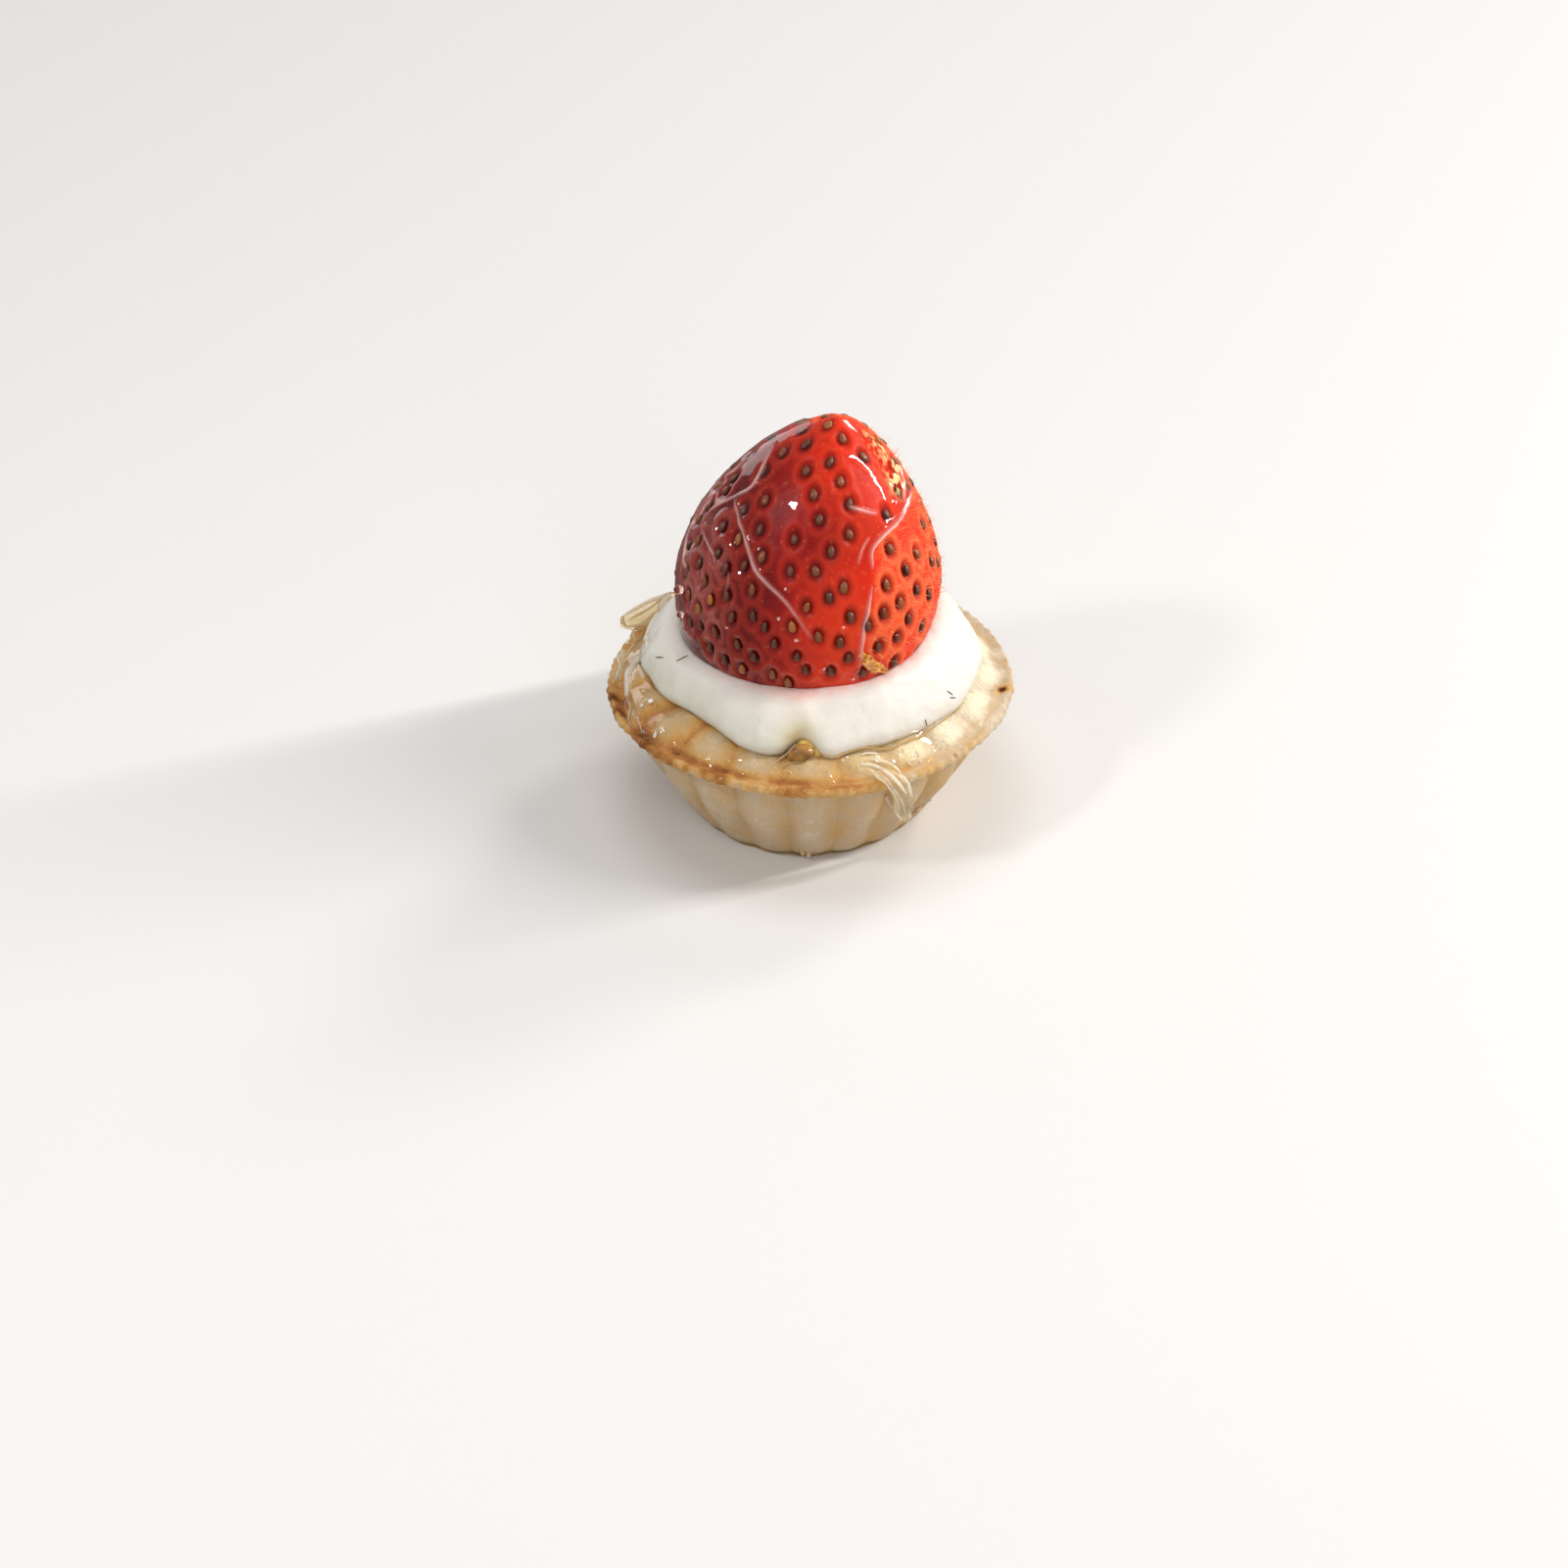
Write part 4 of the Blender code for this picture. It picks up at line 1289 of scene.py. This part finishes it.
# Pale strands of set glaze: pixels, half width, how golden
STRANDS = (
    (
        ((684, 606), (675, 620), (667, 633), (660, 649), (661, 659), (657, 665), (647, 676),
        (641, 687), (640, 697), (639, 711)), 0.55, 0.0
    ),
    (
        ((640, 643), (638, 653), (632, 660), (631, 673), (633, 679), (629, 691), (628, 694)),
        0.26, 0.1
    ),
    (((625, 697), (628, 691), (632, 687)), 0.11, 0.3),
    (((652, 637), (646, 645), (648, 654), (641, 664)), 0.10, 0.5),
    (((657, 643), (651, 652), (642, 658)), 0.10, 0.7),
    (((656, 667), (646, 669), (636, 675)), 0.12, 0.1),
    (((639, 711), (643, 722), (641, 735), (648, 744)), 0.10, 0.3),
    (((645, 727), (652, 737), (655, 748)), 0.09, 0.3),
    (((684, 606), (674, 609), (664, 612), (654, 617), (645, 622), (635, 629)), 0.24, 0.15),
    (((635, 629), (635, 634), (638, 639)), 0.24, 0.5),
    (((638, 640), (646, 639), (654, 638), (664, 636)), 0.20, 0.45),
    (((676, 610), (664, 620), (652, 627), (641, 633)), 0.13, 0.8),
    (((787, 781), (795, 775), (804, 768), (812, 759)), 0.12, 0.5),
    (((797, 783), (808, 778), (820, 778), (830, 772)), 0.10, 0.8),
    (((879, 770), (887, 768), (896, 769)), 0.14, 0.0),
    (((878, 780), (890, 781), (900, 785), (910, 792), (919, 802), (925, 810)), 0.25, 0.0),
    (((886, 774), (899, 776), (911, 781), (920, 790), (926, 799)), 0.20, 0.1),
    (
        ((853, 774), (867, 766), (887, 763), (907, 764), (920, 758), (940, 751), (956, 740),
        (973, 728), (984, 716)), 0.13, 0.9
    ),
    (((934, 766), (938, 773), (931, 781), (925, 776)), 0.08, 0.4),
    (((904, 812), (908, 821), (916, 832), (920, 838)), 0.20, 0.0),
    (((927, 796), (928, 805), (932, 822), (928, 835)), 0.18, 0.0),
    (((906, 800), (914, 808), (921, 820), (924, 832)), 0.16, 0.3),
    (((899, 790), (906, 797), (912, 806)), 0.12, 0.4),
)


def strand_material():
    shade = Shade("glaze_strand")
    colour = shade.mix(shade.value("tone"), srgb(252, 244, 228), srgb(216, 170, 84))
    honey = shade.vary(shade.noise(0.8), 0, 0.3, 0.15)
    colour = shade.mix(honey, colour, srgb(238, 214, 168))
    body = shade.surface(colour, 0.10, under=(0.5, (1.0, 0.8, 0.6), 0.0006), coat=(0.6, 0.03))
    through = shade.node("ShaderNodeBsdfTranslucent", {"Color": colour})
    return shade.finish(shade.blend(0.35, body, through.outputs[0]))


def build_strands(tree):
    parts, tone = [], []
    for pixels, half_width, gold in STRANDS:
        found, found_facing = lay(tree, pixels, 9 * len(pixels))
        # a line that jumps from one surface to another is cut there
        jumps = np.flatnonzero(np.linalg.norm(np.diff(found, axis=0), axis=1) > 1.0) + 1
        for run in np.split(np.arange(len(found)), jumps):
            if len(run) < 5:
                continue
            places, facing = found[run], found_facing[run]
            share = np.linspace(0, 1, len(places))
            width = half_width * (0.35 + 0.65 * np.sqrt(np.clip(4 * share * (1 - share), 0, 1)))
            width = width * (1 + 0.25 * noise(places, 1.0, 61))
            for _ in range(3):
                places = softened(places)
            parts.append(tube(places - facing * 0.35 * width[:, None], width, 12))
            tone += [gold] * len(parts[-1][0])
    points, faces = gather(parts)
    piece = make_mesh("glaze_strands", points, faces, strand_material(), {"tone": tone})


def ball(centre, radii, axes, rows=10, around=14):
    """Points and faces of an ellipsoid; axes are its three directions."""
    slope = np.linspace(0.04, math.pi - 0.04, rows)[:, None]
    local = polar(circle(around), np.sin(slope), -np.cos(slope)).reshape(-1, 3)
    points = np.asarray(centre) + (local * np.asarray(radii)) @ np.asarray(axes)
    return points, capped_faces(rows, around)


# Round drops of glaze on the strawberry's left edge: pixel, radius, how far they stand out
DROPS = (
    ((700, 601), 0.64, 0.95), ((699, 626), 0.46, 0.60), ((703, 585), 0.28, 0.25),
    ((702, 640), 0.34, 0.30),
)


def build_drops(tree):
    shade = Shade("glaze_drop")
    waver = shade.bump(shade.noise(0.6), 0.03, 0.4)
    share = shade.vary(shade.noise(0.5), 0, 1, 0.15)
    tint = shade.mix(share, srgb(255, 240, 236), srgb(255, 226, 214))
    glass = {"Color": tint, "Roughness": 0.01, "IOR": 1.45, "Normal": waver}
    glass = shade.node("ShaderNodeBsdfGlass", glass)
    parts = []
    for pixel, radius, out in DROPS:
        place, facing = land(tree, pixel)
        parts.append(ball(place + facing * out, (radius, radius, radius * 0.92), np.eye(3)))
    points, faces = gather(parts)
    piece = make_mesh("glaze_drops", points, faces, shade.finish(glass.outputs[0]))


# The crinkled scrap of golden glaze at the strawberry's foot: its middle line in pixels
SCRAP = ((877, 666), (884, 672), (889, 678), (896, 681), (904, 684))


def build_scrap(tree):
    places, facing = lay(tree, SCRAP, 34)
    draw = np.random.RandomState(19)
    rows, columns = len(places), 12
    heading = np.gradient(places, axis=0)
    heading /= np.linalg.norm(heading, axis=1, keepdims=True)
    across = np.cross(facing, heading)
    share = np.linspace(0, 1, rows)
    width = 0.75 * np.sin(math.pi * (0.12 + 0.8 * share)) * (0.75 + 0.5 * draw.rand(rows))
    side = np.linspace(-1, 1, columns)
    flat = (places[:, None] + across[:, None] * (width[:, None] * side)[..., None]).reshape(-1, 3)
    lift = 0.28 + 0.30 * noise(flat, 0.55, 71) + 0.16 * noise(flat, 0.28, 72)
    out = np.repeat(facing, columns, axis=0)
    points = np.concatenate([flat + out * lift[:, None], flat + out * (lift - 0.09)[:, None]])
    faces = grid_faces(rows, columns)
    count = len(flat)
    below = [[corner + count for corner in reversed(face)] for face in faces]
    # the rim, once round, joins the upper and the lower sheet
    place = np.arange(count).reshape(rows, columns)
    ring = np.concatenate([place[0], place[1:, -1], place[-1, -2::-1], place[-2:0:-1, 0]]).tolist()
    walls = [(b, a, a + count, b + count) for a, b in zip(ring, ring[1:] + ring[:1])]
    shade = Shade("golden_scrap")
    stops = ((0.3, 150, 70, 20), (0.5, 226, 140, 46), (0.7, 252, 206, 120))
    colour = shade.ramp(shade.noise(0.5, 3.0), stops)
    shader = shade.surface(colour, 0.16, under=(0.4, (1.0, 0.6, 0.3), 0.0005), coat=(0.8, 0.04))
    piece = make_mesh("golden_scrap", points, faces + below + walls, shade.finish(shader))


# Crumbs at the foot of the wall: pixel and size
CRUMBS = (
    (
        (819, 869), 0.34), ((825, 870), 0.42), ((831, 869), 0.26), ((931, 829), 0.30), ((937,
        825), 0.42,
    ),
    (
        (943, 820), 0.30), ((949, 815), 0.24), ((922, 834), 0.24), ((903, 812), 0.20), ((976,
        770), 0.22,
    ),
)


def build_crumbs(tree):
    draw = np.random.RandomState(23)
    parts = []
    for pixel, size in CRUMBS:
        place, facing = land(tree, pixel)
        place = place + facing * size * 0.2
        axes = np.linalg.qr(draw.normal(size=(3, 3)))[0]
        if np.linalg.det(axes) < 0:
            axes[0] = -axes[0]
        points, faces = ball(place, size * draw.uniform(0.7, 1.2, 3), axes, 9, 12)
        points = points + (points - place) * (0.35 * noise(points, 0.4, 81))[:, None]
        points[:, 2] = np.maximum(points[:, 2], 0.0)
        parts.append((points, faces))
    points, faces = gather(parts)
    values = {"bake_and_shade": np.full(len(points), 0.3), "wet": np.zeros(len(points))}
    piece = make_mesh("crumbs", points, faces, bpy.data.materials["baked_crust"], values)


# The browned bubble at the front of the brim: pixel, radius, how far out, tone
KNOBS = (
    ((816, 769), 1.60, 0.10, 0.72), ((830, 765), 1.35, 0.15, 0.32), ((808, 763), 1.05, 0.05, 0.50),
    ((823, 762), 1.25, 0.20, 0.42),
)


def build_bubble(tree):
    parts, tone = [], []
    for pixel, size, out, brown in KNOBS:
        place, facing = land(tree, pixel)
        radii = (size, size * 0.85, size * 0.8)
        points, faces = ball(place + facing * (out - 0.25 * size), radii, np.eye(3), 22, 34)
        points = points + (points - place) * (0.16 * rough(points, 1.7, 3, 91))[:, None]
        parts.append((points, faces))
        tone += list(brown + 0.16 * rough(points, 0.9, 3, 95))
    points, faces = gather(parts)
    shade = Shade("browned_bubble")
    stops = ((0.3, 236, 202, 118), (0.5, 204, 160, 78), (0.65, 168, 120, 52), (0.85, 112, 72, 30))
    shader = shade.surface(
        shade.ramp(shade.value("bake_and_shade"), stops),
        0.42,
        Normal=shade.bump(shade.noise(0.3, 3.0, 0.6), 0.10, 0.7),
        under=(0.2, (1.0, 0.5, 0.2), 0.0006),
        coat=(0.7, 0.06),
    )
    values = {"bake_and_shade": np.clip(tone, 0, 1)}
    piece = make_mesh("browned_bubble", points, faces, shade.finish(shader), values)
    return points, faces


def tube(points, radii, around=6):
    """Points and faces of a thin closed tube along a line."""
    heading = np.gradient(points, axis=0)
    heading /= np.linalg.norm(heading, axis=1, keepdims=True)
    side = np.cross(heading, (0.31, 0.52, 0.79))
    side /= np.linalg.norm(side, axis=1, keepdims=True)
    other = np.cross(heading, side)
    angle = circle(around)[None, :, None]
    ring = side[:, None] * np.cos(angle) + other[:, None] * np.sin(angle)
    grid = points[:, None] + radii[:, None, None] * ring
    return grid.reshape(-1, 3), capped_faces(len(points), around)


# Short dark threads that lie on the cream: two end pixels each
FIBRES = (
    ((669, 671), (677, 671)), ((690, 675), (702, 669)), ((966, 705), (972, 709)),
    ((969, 712), (975, 712)), ((944, 734), (946, 742)),
)


def build_fibres(tree):
    parts = []
    for ends in FIBRES:
        places, facing = lay(tree, ends, 6)
        share = np.linspace(0, 1, len(places))
        parts.append(tube(places + facing * 0.05, 0.07 * (0.5 + np.sin(math.pi * share) * 0.6)))
    points, faces = gather(parts)
    material = speck_material("dark_thread", (srgb(120, 96, 50), srgb(64, 44, 26)))
    piece = make_mesh("cream_threads", points, faces, material)


def build_hairs():
    """Fine hairs on the bare flank of the strawberry."""
    draw = np.random.RandomState(3)
    parts = []
    for _ in range(900):
        angle = draw.uniform(-1.2, 2.3)
        place = berry_point(angle, draw.uniform(24.5, 47))
        if dryness(place[None])[0] < 0.7:
            continue
        ((across, along, out),) = frames_at([place])
        lean = unit(out + along * draw.uniform(-0.3, 0.4) + across * draw.uniform(-0.4, 0.4))
        length = draw.uniform(0.6, 1.2)
        curl = along * draw.uniform(-0.3, 0.5) + across * draw.uniform(-0.3, 0.3)
        share = np.linspace(0, 1, 5)[:, None]
        line = place - out * 0.05 + lean * length * share + curl * length * share**2 * 0.5
        parts.append(tube(line, 0.030 * (1 - 0.75 * share[:, 0]), 4))
    points, faces = gather(parts)
    material = speck_material("fine_hair", (srgb(250, 206, 156), srgb(240, 166, 112)), 0.5)
    piece = make_mesh("berry_hairs", points, faces, material)


# ---------------------------------------------------------------- light and floor


def add_area(name, place, target, width, height, power, colour=(1, 1, 1)):
    data = bpy.data.lights.new(name, "AREA")
    data.shape = "RECTANGLE"
    data.size, data.size_y = width, height
    data.energy = power
    data.color = colour
    light = bpy.data.objects.new(name, data)
    light.location = place
    direction = Vector(target) - Vector(place)
    light.rotation_euler = direction.to_track_quat("-Z", "Y").to_euler()
    bpy.context.scene.collection.objects.link(light)
    return light


def add_floor():
    bpy.ops.mesh.primitive_plane_add(size=6.0, location=(0, 0, -0.00005))
    floor = bpy.context.object
    floor.name = "floor"
    shade = Shade("pale_floor")
    floor.data.materials.append(shade.finish(shade.surface(srgb(222, 220, 217), 0.7)))
    floor.visible_glossy = False


def mirrored(tree, pixel):
    """(place, direction) in which a smooth surface mirrors the line of sight through a pixel."""
    place, normal = land(tree, pixel)
    ray = sight(pixel)
    return place, ray - 2 * np.dot(ray, normal) * normal


def add_glint(name, tree, first, last, distance, width, power):
    """A thin light that shows on the glaze as a highlight from one pixel to another."""
    (start, start_way), (end, end_way) = mirrored(tree, first), mirrored(tree, last)
    near, far = start + start_way * distance, end + end_way * distance
    middle = (near + far) / 2
    length = float(np.linalg.norm(far - near))
    light = add_area(name, middle * MM, (start + end) / 2 * MM, length * MM, width * MM, power)
    toward = Vector((start + end) / 2 - middle).normalized()
    along = Vector(far - near)
    along = (along - toward * along.dot(toward)).normalized()
    light.rotation_euler = Matrix((along, (-toward).cross(along), -toward)).transposed().to_euler()


def add_light(berry):
    world = bpy.data.worlds.new("studio")
    bpy.context.scene.world = world
    world.use_nodes = True
    back = world.node_tree.nodes["Background"]
    back.inputs["Color"].default_value = (1.0, 0.99, 0.98, 1.0)
    back.inputs["Strength"].default_value = 0.22
    add_glint("window", berry, (866, 466), (900, 503), 800, 20, 4.6)
    add_area("back", (0.50, 0.56, 0.50), (0, 0, 0.025), 0.20, 0.20, 2.2, (1.0, 0.985, 0.95))
    for name, place, size, power in (
        ("fill_front", (0.15, -0.85, 0.60), 0.6, 2.9),
        ("fill_top", (-0.1, 0.1, 0.9), 0.5, 2.4),
    ):
        fill = add_area(name, place, (0, 0, 0.025), size, size, power, (0.98, 0.98, 1.0))
        fill.visible_glossy = False
    backdrop = add_area("backdrop", (-0.55, 0.70, 0.22), (0, 0, 0.03), 0.5, 0.4, 1.2)
    backdrop.visible_diffuse = False
    add_glint("spot", berry, (804, 513), (811, 519), 420, 30, 0.45)


def main():
    add_camera()
    bpy.context.scene.view_settings.view_transform = "Standard"
    crust = build_crust()
    cream = build_cream()
    base = berry_mesh_base(150, 260)
    berry = tree_of(base)
    find_glaze_edge(berry)
    places = seed_places(berry)
    frames = frames_at(places)
    build_berry(berry, places, frames)
    build_seeds(places, frames)
    build_berry_glaze(berry, places, frames)
    amber = solid_glaze_material()
    drip = build_drip(amber)
    shard = build_shard(amber)
    shell = tree_of(crust, cream)
    film = build_brim_film(shell)
    knob = build_bubble(shell)
    build_strands(tree_of(crust, cream, film, drip, shard, knob))
    build_drops(berry)
    build_scrap(tree_of(cream, base))
    build_crumbs(tree_of(crust))
    build_fibres(tree_of(cream))
    build_hairs()
    add_floor()
    add_light(berry)


main()
